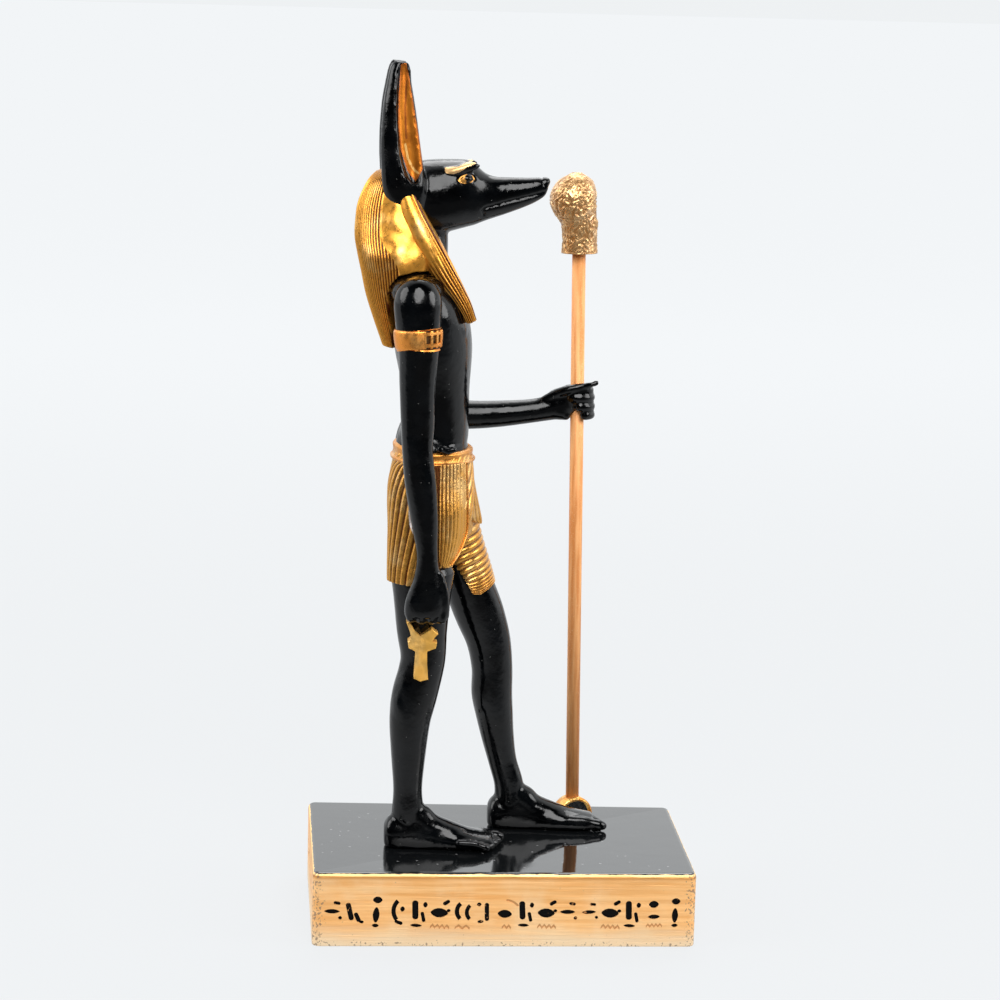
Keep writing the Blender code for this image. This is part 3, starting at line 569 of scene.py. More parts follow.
on_rim = ramp(lug_tree, plus(lug_tree, lug_far, wavy), LUG_RADIUS - 0.45 * MM, LUG_RADIUS - 0.25 * MM)
lug_clouds = ramp(lug_tree, noise(lug_tree, 0.5, 4), 0.4, 0.6)
lug_gold = blend(lug_tree, lug_clouds, (0.60, 0.24, 0.04), (0.78, 0.46, 0.13))
feed(lug_tree, lug_shader, Base_Color=blend(lug_tree, on_rim, (0.004, 0.0045, 0.005), lug_gold))
feed(lug_tree, lug_shader, Metallic=times(lug_tree, on_rim, 0.85))
feed(lug_tree, lug_shader, Roughness=ramp(lug_tree, noise(lug_tree, 1.5, 4), 0.3, 0.7, 0.20, 0.45))
emboss(lug_tree, lug_shader, noise(lug_tree, 1.6, 4), 0.16)
lug.data.materials.append(lug_paint)
for polygon in lug.data.polygons:
    polygon.use_smooth = len(polygon.vertices) == 4
hand_over(lug, "plinth")

# The body: all the black parts of the figure, cast in one and flooded with lacquer. The shapes run
# together into one skin, creases are pressed into it, and the paint follows marks set on the skin.
SIDE_SHIFT = 1.6 * MM
SOLES = BLOCK_TOP + 0.3 * MM
BODY_GRAIN = 0.40 * MM
BODY_SMOOTHING = 4
BODY_TRIANGLES = 150000
STAFF_LEAN = math.radians(1.0)
STAFF_RADIUS = 1.6 * MM
STAFF_FOOT = (19.6, 20.0)


def at(x, y, z):
    """A place in the figure's millimetres: z is over its soles and y from its middle plane."""
    return Vector((x * MM, SIDE_SHIFT + y * MM, SOLES + z * MM))


def staff_axis(distance):
    """A place on the staff's axis, this far along it from the plinth's top."""
    foot = at(*STAFF_FOOT, 0) - Vector((0, 0, SOLES - BLOCK_TOP))
    return foot + Vector((-math.sin(STAFF_LEAN), 0, math.cos(STAFF_LEAN))) * distance


def between(rows, steps):
    """Rows of numbers on a smooth curve through the given rows, steps to each stretch."""
    made = []
    last = len(rows) - 1
    for i in range(last):
        p0, p1, p2, p3 = (rows[min(max(i + k, 0), last)] for k in (-1, 0, 1, 2))
        for s in range(steps):
            t = s / steps
            made.append([
                0.5 * (2 * b + (c - a) * t + (2 * a - 5 * b + 4 * c - d) * t ** 2
                       + (3 * b - a - 3 * c + d) * t ** 3)
                for a, b, c, d in zip(p0, p1, p2, p3)
            ])
    made.append(list(rows[last]))
    return made


def smooth_step(low, high, value):
    t = min(max((value - low) / (high - low), 0.0), 1.0)
    return t * t * (3 - 2 * t)


def sections_of(rows, steps, level=False):
    """Sections along a smooth path: the share of the way, the middle, both half widths, and the
    ways across and upright. Level keeps them square to the x axis."""
    stations = between(rows, steps)
    for i, (x, y, z, side, front) in enumerate(stations):
        ahead = Vector(stations[min(i + 1, len(stations) - 1)][:3])
        behind = Vector(stations[max(i - 1, 0)][:3])
        along = (ahead - behind).normalized()
        if level:
            along = Vector((math.copysign(1.0, along.x), 0, 0))
        across = (Vector((0, 1, 0)) - along * along.y).normalized()
        yield i / (len(stations) - 1), Vector((x, y, z)), side, front, across, along.cross(across)


def limb(name, rows, sides=40, steps=7, relief=None, deep=0.0, floor=None, rise=None, square=1.0,
         level=False):
    """A limb along a path. A row is x, y, z, half the width from side to side and half the width
    in the path's plane. relief(turn, share) is 0 to 1, deep is what a 0 is sunk by, and
    rise(turn, share) is how much higher a place lies. Square under 1 flattens the sides, and
    level keeps the sections square to the x axis."""
    rings, tones = [], []
    for share, middle, side, front, across, upright in sections_of(rows, steps, level):
        ring, tone = [], []
        for k in range(sides):
            turn = 2 * math.pi * k / sides
            height = relief(turn, share) if relief else 1.0
            sunk = deep * (height - 1)
            aside, ahead_of = (math.copysign(abs(v) ** square, v) for v in (math.sin(turn), math.cos(turn)))
            place = middle + across * aside * (side + sunk) - upright * ahead_of * (front + sunk)
            if floor is not None:
                place.z = max(place.z, floor)
            if rise:
                place.z += rise(turn, share)
            ring.append(at(*place))
            tone.append(height)
        rings.append(ring)
        tones.append(tone)
    return skin(name, rings, tones if relief else None)


def ball(centre, half, tilt=0.0):
    """An egg shape: half its widths along x, y and z, leaning back by the tilt in degrees."""
    shape = bmesh.new()
    bmesh.ops.create_uvsphere(shape, u_segments=28, v_segments=18, radius=MM)
    size = Matrix.Diagonal((*half, 1.0))
    turned = Matrix.Rotation(math.radians(-tilt), 4, "Y")
    bmesh.ops.transform(shape, matrix=Matrix.Translation(at(*centre)) @ turned @ size, verts=shape.verts)
    return object_of("muscle", mesh_of("muscle", shape))


def finger(rows, steps=6):
    """A round bar with domed ends. A row is x, y, z and its half width."""
    line = between(rows, steps)
    start, end = line[0], line[-1]
    curve = bpy.data.curves.new("finger", "CURVE")
    curve.dimensions = "3D"
    curve.bevel_depth = MM
    curve.bevel_resolution = 5
    curve.use_fill_caps = True
    for point, other, at_start in ((start, line[1], True), (end, line[-2], False)):
        away = (Vector(point[:3]) - Vector(other[:3])).normalized() * point[3]
        dome = [[*(Vector(point[:3]) + away * math.sin(a)), point[3] * math.cos(a)]
                for a in (math.radians(d) for d in (30, 55, 75, 86))]
        line = list(reversed(dome)) + line if at_start else line + dome
    spline = curve.splines.new("POLY")
    spline.points.add(len(line) - 1)
    for point, row in zip(spline.points, line):
        point.co = (*at(*row[:3]), 1.0)
        point.radius = row[3]
    source = object_of("finger", curve)
    bpy.context.view_layer.update()
    mesh = bpy.data.meshes.new_from_object(source.evaluated_get(bpy.context.evaluated_depsgraph_get()))
    bpy.data.objects.remove(source)
    shape = bmesh.new()
    shape.from_mesh(mesh)
    bmesh.ops.remove_doubles(shape, verts=shape.verts, dist=1e-6)
    return object_of("finger", mesh_of("finger", shape))


def mirrored(rows):
    return [(x, -y, *rest) for x, y, *rest in rows]


TORSO = [
    (-17.5, 0, 74, 10.0, 8.0), (-17.4, 0, 84, 11.4, 8.8), (-17.1, 0, 91, 10.8, 8.2),
    (-17.8, 0, 93.4, 11.5, 8.5), (-17.8, 0, 95.2, 11.2, 8.2), (-17.1, 0, 97.4, 10.3, 7.9),
    (-17.1, 0, 107, 11.2, 7.9), (-17.8, 0, 117, 14.0, 9.0),
    (-19.0, 0, 125, 15.6, 8.6), (-20.8, 0, 131, 14.2, 6.6), (-21.0, 0, 136, 8.4, 6.2),
    (-20.6, 0, 142, 5.6, 5.7), (-20.4, 0, 150, 5.2, 5.0),
]
# The head from its nose back: x, its top and bottom line, and half its width
HEAD_LINES = [
    (7.8, 155.7, 154.0, 0.9), (7.2, 156.2, 152.2, 1.5), (5.5, 156.1, 150.8, 1.95),
    (2.7, 156.0, 149.4, 2.5), (-1.4, 156.0, 147.8, 3.1), (-4.3, 156.1, 146.8, 3.7),
    (-6.3, 156.7, 146.1, 4.3), (-7.8, 157.8, 145.5, 4.9), (-9.0, 158.9, 145.0, 5.5),
    (-10.5, 159.7, 144.6, 6.1), (-12.6, 159.9, 144.0, 6.8), (-15.5, 159.9, 143.2, 7.4),
    (-18.0, 159.8, 142.7, 7.7), (-22.0, 159.3, 142.5, 7.6), (-27.0, 157.6, 143.6, 6.0),
    (-31.0, 154.0, 146.8, 3.0),
]
HEAD = [(x, 0, (top + low) / 2, wide, (top - low) / 2) for x, top, low, wide in HEAD_LINES]
REAR_LEG = [
    (-19.0, -6.5, 82, 6.5, 8.0), (-19.5, -7.0, 72, 6.9, 8.2), (-19.5, -7.6, 60, 6.1, 6.7),
    (-19.4, -7.8, 52, 5.6, 5.9), (-19.0, -8.0, 46, 5.1, 5.3), (-19.5, -8.0, 42, 5.0, 5.2),
    (-20.9, -8.0, 36, 5.0, 5.3), (-21.8, -8.0, 30, 4.7, 4.8), (-22.0, -8.0, 22, 3.9, 4.05),
    (-22.0, -8.0, 14, 3.3, 3.4), (-21.9, -8.0, 9, 3.5, 3.7), (-21.9, -7.9, 4, 3.4, 3.9),
]
FRONT_LEG = [
    (-15.5, 6.0, 84, 6.5, 6.5), (-12.8, 6.8, 74, 6.6, 6.4), (-9.3, 7.5, 63, 6.2, 5.9),
    (-5.4, 8.0, 53, 5.7, 5.9), (-2.9, 8.2, 46, 5.1, 5.3), (-1.8, 8.3, 39, 4.8, 4.9),
    (-1.7, 8.3, 33, 4.8, 4.9), (-1.0, 8.3, 28, 4.6, 4.5), (0.0, 8.3, 22, 4.0, 3.9),
    (1.3, 8.3, 16, 3.4, 3.4), (2.9, 8.3, 10.5, 3.4, 3.5), (3.4, 8.3, 5, 3.4, 3.9),
]
FOOT = [
    (-5.5, 0, 2.9, 1.8, 2.2), (-5.1, 0, 2.9, 2.8, 3.3), (-4.2, 0, 2.95, 3.4, 4.3), (-2.0, 0, 3.0, 3.7, 5.2),
    (1.5, 0, 3.0, 3.7, 6.2), (4.8, 0, 2.3, 3.6, 5.6), (8.0, 0, 1.8, 4.0, 4.4),
    (12.0, 0, 1.5, 4.6, 3.4), (16.5, 0, 1.2, 5.0, 2.6), (19.8, 0, 1.0, 4.6, 2.1),
]
INSTEP = [
    (0.2, 8.8, 2.6, 2.2), (1.0, 8.0, 3.0, 3.1), (2.8, 6.4, 3.2, 3.6), (5.4, 4.6, 3.4, 3.2),
    (9.5, 3.1, 3.6, 2.9), (14.0, 2.0, 3.8, 2.3),
]
RIGHT_ARM = [
    (-22.2, -15.6, 134.0, 1.6, 1.8), (-22.2, -16.2, 132.3, 3.9, 4.3), (-22.2, -16.8, 129, 4.8, 5.4),
    (-22.1, -17.2, 124, 4.7, 5.1), (-21.8, -17.4, 118, 4.3, 4.6), (-21.9, -17.4, 110, 3.9, 4.1),
    (-21.7, -17.5, 101, 3.5, 3.8), (-21.6, -17.8, 95, 3.4, 3.5), (-20.8, -18.0, 88, 3.4, 3.6),
    (-19.8, -18.0, 80, 3.1, 3.2), (-19.0, -17.8, 72, 2.6, 2.5), (-18.9, -17.6, 67, 2.7, 2.9),
    (-18.9, -17.4, 63, 3.1, 4.1), (-19.2, -17.2, 59.5, 3.4, 4.7), (-19.2, -17.1, 57.4, 3.1, 4.7),
]
LEFT_UPPER_ARM = [
    (-22.2, 15.6, 134.0, 1.6, 1.8), (-22.2, 16.2, 132.3, 3.7, 3.9), (-22.2, 16.8, 129, 4.6, 4.9),
    (-21.9, 17.2, 124, 4.8, 5.1), (-21.2, 17.8, 116, 4.2, 4.3), (-20.4, 18.5, 107, 3.9, 3.9),
    (-19.9, 19.0, 101, 3.6, 3.7), (-19.7, 19.2, 97.5, 2.6, 2.7),
]
LEFT_FOREARM = [
    (-23.8, 19.1, 99.8, 1.4, 1.4), (-22.0, 19.2, 99.3, 3.0, 3.1), (-16.5, 19.5, 98.4, 3.4, 3.8),
    (-8.0, 19.8, 98.1, 3.2, 3.45), (-1.0, 20.0, 98.4, 2.9, 3.2), (6.0, 20.0, 99.1, 2.6, 2.9),
    (10.5, 20.0, 99.9, 2.6, 3.0), (13.5, 20.0, 101.0, 2.8, 3.8), (16.6, 20.0, 102.4, 2.5, 3.3),
]
EAR = [
    (-23.6, 6.6, 146.6, 1.6, 2.2), (-24.3, 6.9, 149.0, 2.5, 3.9), (-25.2, 7.1, 153.0, 3.4, 5.0),
    (-25.9, 7.1, 158.0, 3.2, 4.8), (-26.4, 7.0, 163.0, 2.9, 4.5), (-26.7, 7.0, 168.0, 2.6, 4.1),
    (-26.9, 7.0, 173.0, 2.2, 3.5), (-26.9, 6.9, 177.0, 1.8, 2.8), (-26.7, 6.8, 180.2, 1.4, 2.3),
    (-26.6, 6.7, 181.7, 0.8, 1.6),
]
EAR_HOLLOW = [
    (-23.3, 8.9, 154.4, 0.4, 0.4), (-23.6, 9.6, 157.0, 1.6, 1.8), (-24.3, 9.7, 162.0, 1.8, 2.5),
    (-25.0, 9.6, 167.0, 1.7, 2.3), (-25.5, 9.2, 171.5, 1.5, 2.1), (-25.8, 8.7, 176.0, 1.3, 1.7),
    (-25.9, 8.1, 179.5, 1.0, 1.3), (-25.9, 7.6, 181.4, 0.4, 0.6),
]


def ear(rows, hollow):
    """A tall ear with its inside hollowed out."""
    made = limb("ear", rows)
    tool = limb("ear_hollow", hollow)
    cut_away(made, tool)
    return made


def foot_shapes(heel_x, foot_y, inner):
    """A bare foot with its toes. inner is 1 or -1, towards the big toe."""
    rows = [(x + heel_x, y + foot_y, z, side, front) for x, y, z, side, front in FOOT]
    made = [limb("foot", rows, floor=0.0, level=True)]
    instep = [(x + heel_x, foot_y, z, side, front) for x, z, side, front in INSTEP]
    made.append(limb("instep", instep, floor=0.0))
    spot = 3.6
    for length, width in zip((6.4, 6.0, 5.4, 4.7, 3.8), (1.45, 1.1, 1.05, 1.0, 0.98)):
        y = foot_y + inner * spot
        x = heel_x + 18.2 + (length - 6.4) * 0.75
        thick = width * 1.02
        made.append(finger([
            (x - 4.5, y, 2.3, width * 0.8), (x - 1.0, y, 2.1, width * 0.86),
            (x + length * 0.20, y, 1.6, thick * 0.80), (x + length * 0.46, y, 1.2, thick * 0.95),
            (x + length * 0.60, y, 1.0, thick * 0.80)]))
        spot -= width * 2.02
    return made


def body_shapes():
    made = [
        limb("torso", TORSO, sides=64), limb("head", HEAD, sides=72, square=0.85, level=True),
        limb("rear_leg", REAR_LEG, sides=48), limb("front_leg", FRONT_LEG, sides=48),
        limb("right_arm", RIGHT_ARM), limb("left_upper_arm", LEFT_UPPER_ARM),
        limb("left_forearm", LEFT_FOREARM),
        ear(mirrored(EAR), mirrored(EAR_HOLLOW)), ear(EAR, EAR_HOLLOW),
    ]
    made += foot_shapes(-21.9, -8.0, 1) + foot_shapes(3.4, 8.3, -1)
    # Shoulders under the wig, chest, shoulder blades, brow ridges, knees and calves
    for side in (-1, 1):
        made.append(ball((-22.0, side * 10.5, 130.6), (6.2, 6.2, 4.4)))
        made.append(ball((-13.4, side * 5.6, 121.5), (3.2, 5.4, 4.6), 8))
        made.append(ball((-23.6, side * 6.5, 121.5), (2.9, 5.0, 6.0), -6))
        made.append(ball((-12.2, side * 5.6, 157.9), (4.2, 1.2, 1.0), 14))
        made.append(ball((-11.5, side * 6.0, 155.8), (1.5, 0.55, 0.75)))
    made.append(ball((-15.9, -8.0, 47.6), (1.6, 3.4, 3.6)))
    made.append(ball((0.4, 8.2, 46.4), (1.6, 3.4, 3.6)))
    made.append(ball((-23.4, -8.0, 33.5), (3.0, 4.5, 7.2)))
    made.append(ball((-3.6, 8.3, 33.0), (2.7, 4.5, 7.0)))
    # A fold of the waist that laps over the belt
    for x, y, z, r in ((-15.9, -12.3, 94.9, 0.95), (-14.6, -12.1, 94.4, 0.9), (-13.4, -11.8, 94.7, 0.85)):
        made.append(ball((x, y, z), (r * 1.3, r, r)))
    # The nose
    made.append(ball((7.3, 0, 155.2), (1.0, 1.3, 1.0), 20))
    # The left hand closed round the staff, with its thumb along the top
    y = STAFF_FOOT[1]
    for height, thick, last in ((104.4, 1.00, 17), (102.6, 1.18, 17), (100.5, 1.20, 16), (98.4, 1.18, 15)):
        centre = staff_axis(height * MM) / MM
        reach = STAFF_RADIUS / MM + 0.1 + thick * 0.92
        rows = []
        for k in range(last - 3):
            turn = math.radians(205 - 24 * k)
            knuckle = 1.0 + 0.03 * math.cos(math.radians(96 * (k - 4)))
            rows.append((centre.x + (reach + 0.35) * math.cos(turn), y + reach * math.sin(turn),
                         height + 0.02 * k, thick * knuckle))
        made.append(finger(rows, 3))
    made.append(finger([
        (9.5, y - 1.0, 101.9, 1.0), (12.4, y - 1.8, 103.6, 1.15), (15.0, y - 2.6, 104.7, 1.1),
        (18.0, y - 3.0, 105.6, 0.9), (20.8, y - 2.6, 106.1, 0.62), (22.0, y - 2.4, 106.5, 0.75)]))
    made.append(ball((13.6, y - 0.4, 99.5), (3.0, 2.3, 2.3), -10))
    made.append(ball((16.4, y - 1.9, 102.9), (1.6, 1.3, 2.0)))
    # The right fist, its fingers folded under and its thumb across the front
    for k in range(4):
        x = -22.3 + 2.3 * k
        drop = (0.0, 0.5, 0.45, 0.3)[k]
        y = (-18.0, -18.8, -18.7, -17.9)[k]
        made.append(finger([
            (x, y, 59.0, 1.0), (x, y - 0.1, 57.9 - drop, 1.15), (x, -17.9, 57.0 - drop, 1.25),
            (x, -16.6, 56.9 - drop, 1.25), (x, -15.2, 57.4, 1.2), (x, -14.6, 59.2, 1.15)]))
    made.append(finger([
        (-16.0, -18.2, 67.0, 0.9), (-15.3, -18.2, 64.0, 1.1), (-14.8, -17.9, 60.5, 1.2),
        (-14.7, -17.2, 57.0, 1.1)]))
    return made


def run_together(name, shapes, grain, passes):
    """One closed skin over a group of shapes, smoothed."""
    joined = bmesh.new()
    for shape in shapes:
        joined.from_mesh(shape.data)
        bpy.data.objects.remove(shape)
    made = object_of(name, mesh_of(name, joined))
    fuse = made.modifiers.new("fuse", "REMESH")
    fuse.mode = "VOXEL"
    fuse.voxel_size = grain
    soften = made.modifiers.new("soften", "SMOOTH")
    soften.factor = 0.5
    soften.iterations = passes
    return settle(made)


def places_of(mesh):
    """The mesh's vertices in the figure's millimetres, one row each."""
    flat = np.empty(len(mesh.vertices) * 3, dtype=np.float32)
    mesh.vertices.foreach_get("co", flat)
    return (flat.reshape(-1, 3) - np.array((0, SIDE_SHIFT, SOLES))) / MM


def nearest(places, line):
    """How far each place is from a line through a few points, in 2 or 3 dimensions."""
    best = np.full(len(places), 1e9)
    for a, b in zip(line, line[1:]):
        a, b = np.array(a, dtype=float), np.array(b, dtype=float)
        along = b - a
        share = np.clip(((places - a) @ along) / (along @ along), 0, 1)
        best = np.minimum(best, np.linalg.norm(places - a - share[:, None] * along, axis=1))
    return best


def inside(places, outline):
    """How deep each place (x, z) lies inside an outline: under 0 outside it."""
    x, z = places[:, 0], places[:, 1]
    within = np.zeros(len(places), dtype=bool)
    loop = list(outline) + [outline[0]]
    for (x0, z0), (x1, z1) in zip(loop, loop[1:]):
        crosses = (z0 > z) != (z1 > z)
        rise = (z1 - z0) if z1 != z0 else 1e-9
        within ^= crosses & (x < (x1 - x0) * (z - z0) / rise + x0)
    return np.where(within, 1, -1) * nearest(places, loop)


def mark(mesh, name, values):
    made = mesh.attributes.new(name, "FLOAT", "POINT")
    made.data.foreach_set("value", values.astype(np.float32))


def press(mesh, depths):
    """Moves each vertex inwards by its depth in millimetres, outwards where it is under 0."""
    flat = np.empty(len(mesh.vertices) * 3, dtype=np.float32)
    mesh.vertices.foreach_get("co", flat)
    normals = np.empty(len(mesh.vertices) * 3, dtype=np.float32)
    mesh.vertex_normals.foreach_get("vector", normals)
    moved = flat.reshape(-1, 3) - normals.reshape(-1, 3) * (depths * MM)[:, None]
    mesh.vertices.foreach_set("co", moved.ravel().astype(np.float32))
    mesh.update()


body = run_together("figure_body", body_shapes(), BODY_GRAIN, BODY_SMOOTHING)

# Creases pressed into the skin: which side they are on, how wide, how deep, and their line
MOUTH = [
    (-7.0, 147.6), (-7.3, 148.5), (-6.7, 149.2), (-4.6, 149.8), (-0.8, 150.9), (3.0, 151.8), (6.8, 152.8),
]
LIP = [(-5.8, 148.2), (-3.0, 148.9), (0.5, 150.0), (3.6, 151.0), (6.2, 152.0)]
NOSTRIL = [(6.1, 156.2), (6.4, 155.2), (6.9, 154.3)]
BROW = [
    (-16.3, 158.1), (-13.4, 158.4), (-11.3, 159.2), (-9.5, 159.7), (-9.1, 159.2), (-11.0, 158.5),
    (-12.9, 157.4), (-14.3, 156.9), (-16.2, 156.8),
]
EYE = [
    (-13.2, 155.5), (-12.4, 156.4), (-11.2, 156.8), (-9.9, 156.5), (-9.4, 155.7), (-10.1, 155.1),
    (-11.4, 154.8), (-12.5, 155.0),
]
EAR_OPENING = [
    (-26.7, 181.2), (-27.1, 173.8), (-27.1, 167.6), (-26.5, 162.3), (-24.8, 157.4), (-22.9, 155.0),
    (-21.3, 158.0), (-21.7, 162.4), (-23.2, 169.7), (-24.5, 177.2), (-25.4, 181.4),
]
places = places_of(body.data)
flat_places = places[:, (0, 2)]
depth = np.zeros(len(places))


def crease(line, width, deep, where):
    """Adds a round-bottomed groove along a line drawn on the figure's side."""
    away = nearest(flat_places, line)
    return np.where(where, deep * np.exp(-(away / width) ** 2), 0)


muzzle = flat_places[:, 0] > -9
depth += crease(MOUTH, 0.32, 0.50, (flat_places[:, 1] > 146) & (np.abs(places[:, 1]) < 5.5))
depth -= crease(LIP, 0.45, 0.05, muzzle & (flat_places[:, 1] > 146))
depth += crease(NOSTRIL, 0.25, 0.25, flat_places[:, 1] > 146)
near_hem = np.interp(places[:, 0], (-16, -11.7, -10.6, -9.2, -7.5, -6.0, -4.3, -1.9, 0),
                     (72, 66.0, 63.9, 61.8, 59.4, 58.6, 59.5, 60.9, 61.6))
far_hem = np.interp(places[:, 0], (-14, -7.5, -1), (66, 59.8, 61.6))
kilt_hem = np.where(places[:, 1] > 1, np.where(places[:, 1] < 8.2, near_hem, far_hem), 65.5)
under_kilt = (places[:, 2] > kilt_hem) & (places[:, 2] < 91) & (np.abs(places[:, 1]) < 15.5)
tucked_in = np.clip((places[:, 2] - kilt_hem) / 1.5, 0, 1) * np.clip((91 - places[:, 2]) / 2, 0, 1)
depth += np.where(under_kilt, 1.1 * tucked_in, 0)
face = (flat_places[:, 1] > 150) & (np.abs(places[:, 1]) > 2.0) & (flat_places[:, 0] > -17)
brow_depth = inside(flat_places, BROW)
eye_depth = inside(flat_places, EYE)
depth -= np.where(face, 0.28 * np.clip((brow_depth + 0.3) / 0.5, 0, 1), 0)
depth += np.where(face, 0.22 * np.exp(-(eye_depth / 0.22) ** 2), 0)
spine = np.abs(places[:, 1])
depth += np.where((places[:, 0] < -20) & (places[:, 2] > 94) & (places[:, 2] < 130),
                  0.55 * np.exp(-(spine / 1.2) ** 2), 0)
depth += np.where((places[:, 0] > -14) & (places[:, 2] > 100) & (places[:, 2] < 126),
                  0.40 * np.exp(-(spine / 0.9) ** 2), 0)
press(body.data, depth)
outer_ear = np.abs(places[:, 1]) > 7.2 - 0.9 * np.clip((places[:, 2] - 170) / 8, 0, 1)
mark(body.data, "ear_gold", np.where(outer_ear, inside(flat_places, EAR_OPENING), -1.0))
# The lines that the ears' painted highlight on the lower ridge and painted shade in the fold follow
mark(body.data, "ear_rim_highlight", nearest(flat_places, [
    (-25.4, 163.5), (-24.7, 160.2), (-23.4, 157.8), (-22.3, 157.0)]))
mark(body.data, "ear_fold_shade", nearest(flat_places, [(-25.3, 177.5), (-25.6, 171.0), (-25.1, 164.3)]))
mark(body.data, "brow_gold", np.where(face, brow_depth, -1.0))
mark(body.data, "eye_gold", np.where(face, eye_depth, -1.0))
mark(body.data, "pupil", np.where(face, nearest(flat_places, [(-11.1, 156.1), (-10.4, 156.1)]), 9.0))


def body_paint():
    """Lacquer, with copper gold in the ears, where painted shade darkens the walls and the fold and a
    painted highlight lies on the lower ridge, and pale gold on the brows and in the eyes.
    """
    made, tree, shader = node_material("body_paint", Specular_IOR_Level=0.34)
    cloud = noise(tree, 0.12, 4)
    colour = blend(tree, ramp(tree, cloud, 0.35, 0.7), (0.0003, 0.0004, 0.0006), (0.0014, 0.0019, 0.0025))
    specks = dust(tree, 1.1, 0.10)
    colour = blend(tree, times(tree, specks, 0.4), colour, (0.20, 0.20, 0.19))
    edge = times(tree, minus(tree, noise(tree, 2.5, 3), 0.5), 0.35)
    ear_in = ramp(tree, plus(tree, marked(tree, "ear_gold"), edge), 0.0, 0.08)
    # Painted shade along the fold down the middle of the hollow
    fold = ramp(tree, marked(tree, "ear_fold_shade"), 0.10, 0.35, 1, 0)
    copper = ramp(tree, noise(tree, 0.5, 5, (1, 1, 0.3)), 0.4, 0.7)
    copper = blend(tree, copper, (0.58, 0.19, 0.016), (0.40, 0.11, 0.008))
    copper = blend(tree, fold, copper, (0.22, 0.05, 0.008))
    # Painted shade on the hollow's walls, darker near its outline
    copper = blend(tree, ramp(tree, marked(tree, "ear_gold"), 0.55, 0.25), copper, (0.34, 0.09, 0.010))
    # Painted highlight along the lower ridge of the hollow
    copper = blend(tree, ramp(tree, marked(tree, "ear_rim_highlight"), 0.16, 0.34, 1, 0), copper, (0.85, 0.50, 0.16))
    colour = blend(tree, ear_in, colour, copper)
    brow_in = ramp(tree, plus(tree, marked(tree, "brow_gold"), edge), 0.0, 0.08)
    colour = blend(tree, brow_in, colour, (0.80, 0.50, 0.22))
    eye_in = ramp(tree, plus(tree, marked(tree, "eye_gold"), edge), -0.15, -0.08)
    along = add_node(tree, "ShaderNodeSeparateXYZ", {0: place_on(tree)}).outputs[0]
    outline = ramp(tree, work_out(tree, "ABSOLUTE", marked(tree, "eye_gold")), 0.10, 0.16, 1, 0)
    patch = times(tree, ramp(tree, along, -11.6 * MM, -11.3 * MM, 1, 0), eye_in)
    patch = times(tree, patch, ramp(tree, noise(tree, 1.5, 3), 0.35, 0.45))
    eye_in = larger(tree, patch, times(tree, outline, ramp(
        tree, noise(tree, 0.9, 2), 0.38, 0.50)))
    eye_in = times(tree, eye_in, ramp(tree, marked(tree, "pupil"), 0.62, 0.72))
    colour = blend(tree, eye_in, colour, (0.62, 0.30, 0.07))
    gilt = larger(tree, larger(tree, ear_in, brow_in), eye_in)
    feed(tree, shader, Base_Color=colour)
    feed(tree, shader, Metallic=times(tree, gilt, 0.75))
    satin = ramp(tree, noise(tree, 0.30, 5), 0.40, 0.66, 0.09, 0.22)
    rough = mixed(tree, gilt, satin, 0.42)
    feed(tree, shader, Roughness=rough)
    emboss(tree, shader, plus(tree, noise(tree, 0.45, 2), times(tree, noise(tree, 3.0, 2), 0.10)), 0.10)
    return made


def thin_out(piece, triangles):
    """Brings a piece under a number of triangles."""
    count = sum(len(p.vertices) - 2 for p in piece.data.polygons)
    if count > triangles:
        thin = piece.modifiers.new("thin", "DECIMATE")
        thin.ratio = triangles / count
        settle(piece)


def finished(piece, material, node="figure", smooth=True):
    """Dresses a piece in one material and hands it over. A piece without relief of its own counts
    as a ridge all over."""
    if "relief" not in piece.data.attributes:
        mark(piece.data, "relief", np.ones(len(piece.data.vertices)))
    piece.data.materials.clear()
    piece.data.materials.append(material)
    for polygon in piece.data.polygons:
        polygon.material_index = 0
        polygon.use_smooth = smooth
    hand_over(piece, node)


thin_out(body, BODY_TRIANGLES)
finished(body, body_paint())

# The wig: gilt over dark orange. Fine strands run down its back from the crown, a smooth
# hammered band lies on the shoulder, and a lappet hangs in front on each side.
WIG_SECTIONS = [
    (158.4, -26.0, 1.6, 1.6), (157.0, -26.0, 5.2, 5.4), (154.4, -25.9, 8.0, 7.8),
    (150.0, -25.6, 9.6, 10.0), (146.0, -25.6, 10.7, 10.6), (142.0, -25.4, 12.0, 10.9),
    (138.0, -25.2, 13.4, 10.4), (134.0, -25.0, 12.8, 9.7), (129.0, -24.8, 11.6, 8.8),
    (124.0, -24.6, 10.4, 7.4), (119.5, -24.4, 9.6, 6.0), (117.0, -24.3, 9.2, 5.2),
]
WIG_THICKNESS = 2.2
# The hem's height by the turn away from the middle of the back, and the line of the wig's front
WIG_HEM_STEPS = [
    (0.0, 117.2), (0.93, 117.2), (1.00, 124.0), (1.05, 129.0), (1.18, 131.8), (1.42, 134.2),
    (1.80, 135.2), (3.2, 135.2),
]
WIG_FRONT_LINE = [(123, -11.5), (134, -15.5), (139.8, -18.6), (146.5, -22.4), (152, -24.6), (160, -25.0)]
WIG_STRANDS = 86
WIG_STRAND_DEPTH = 0.50
WIG_LAPPET = [
    (-25.2, 8.0, 152.6, 2.0, 2.0), (-23.0, 8.8, 147.0, 3.0, 2.7), (-19.4, 9.4, 140.0, 3.5, 3.1),
    (-15.7, 8.9, 134.0, 3.6, 2.7), (-13.0, 8.0, 130.0, 3.6, 2.1), (-11.2, 7.2, 127.0, 3.6, 1.75),
    (-9.9, 6.5, 124.2, 3.4, 1.4),
]


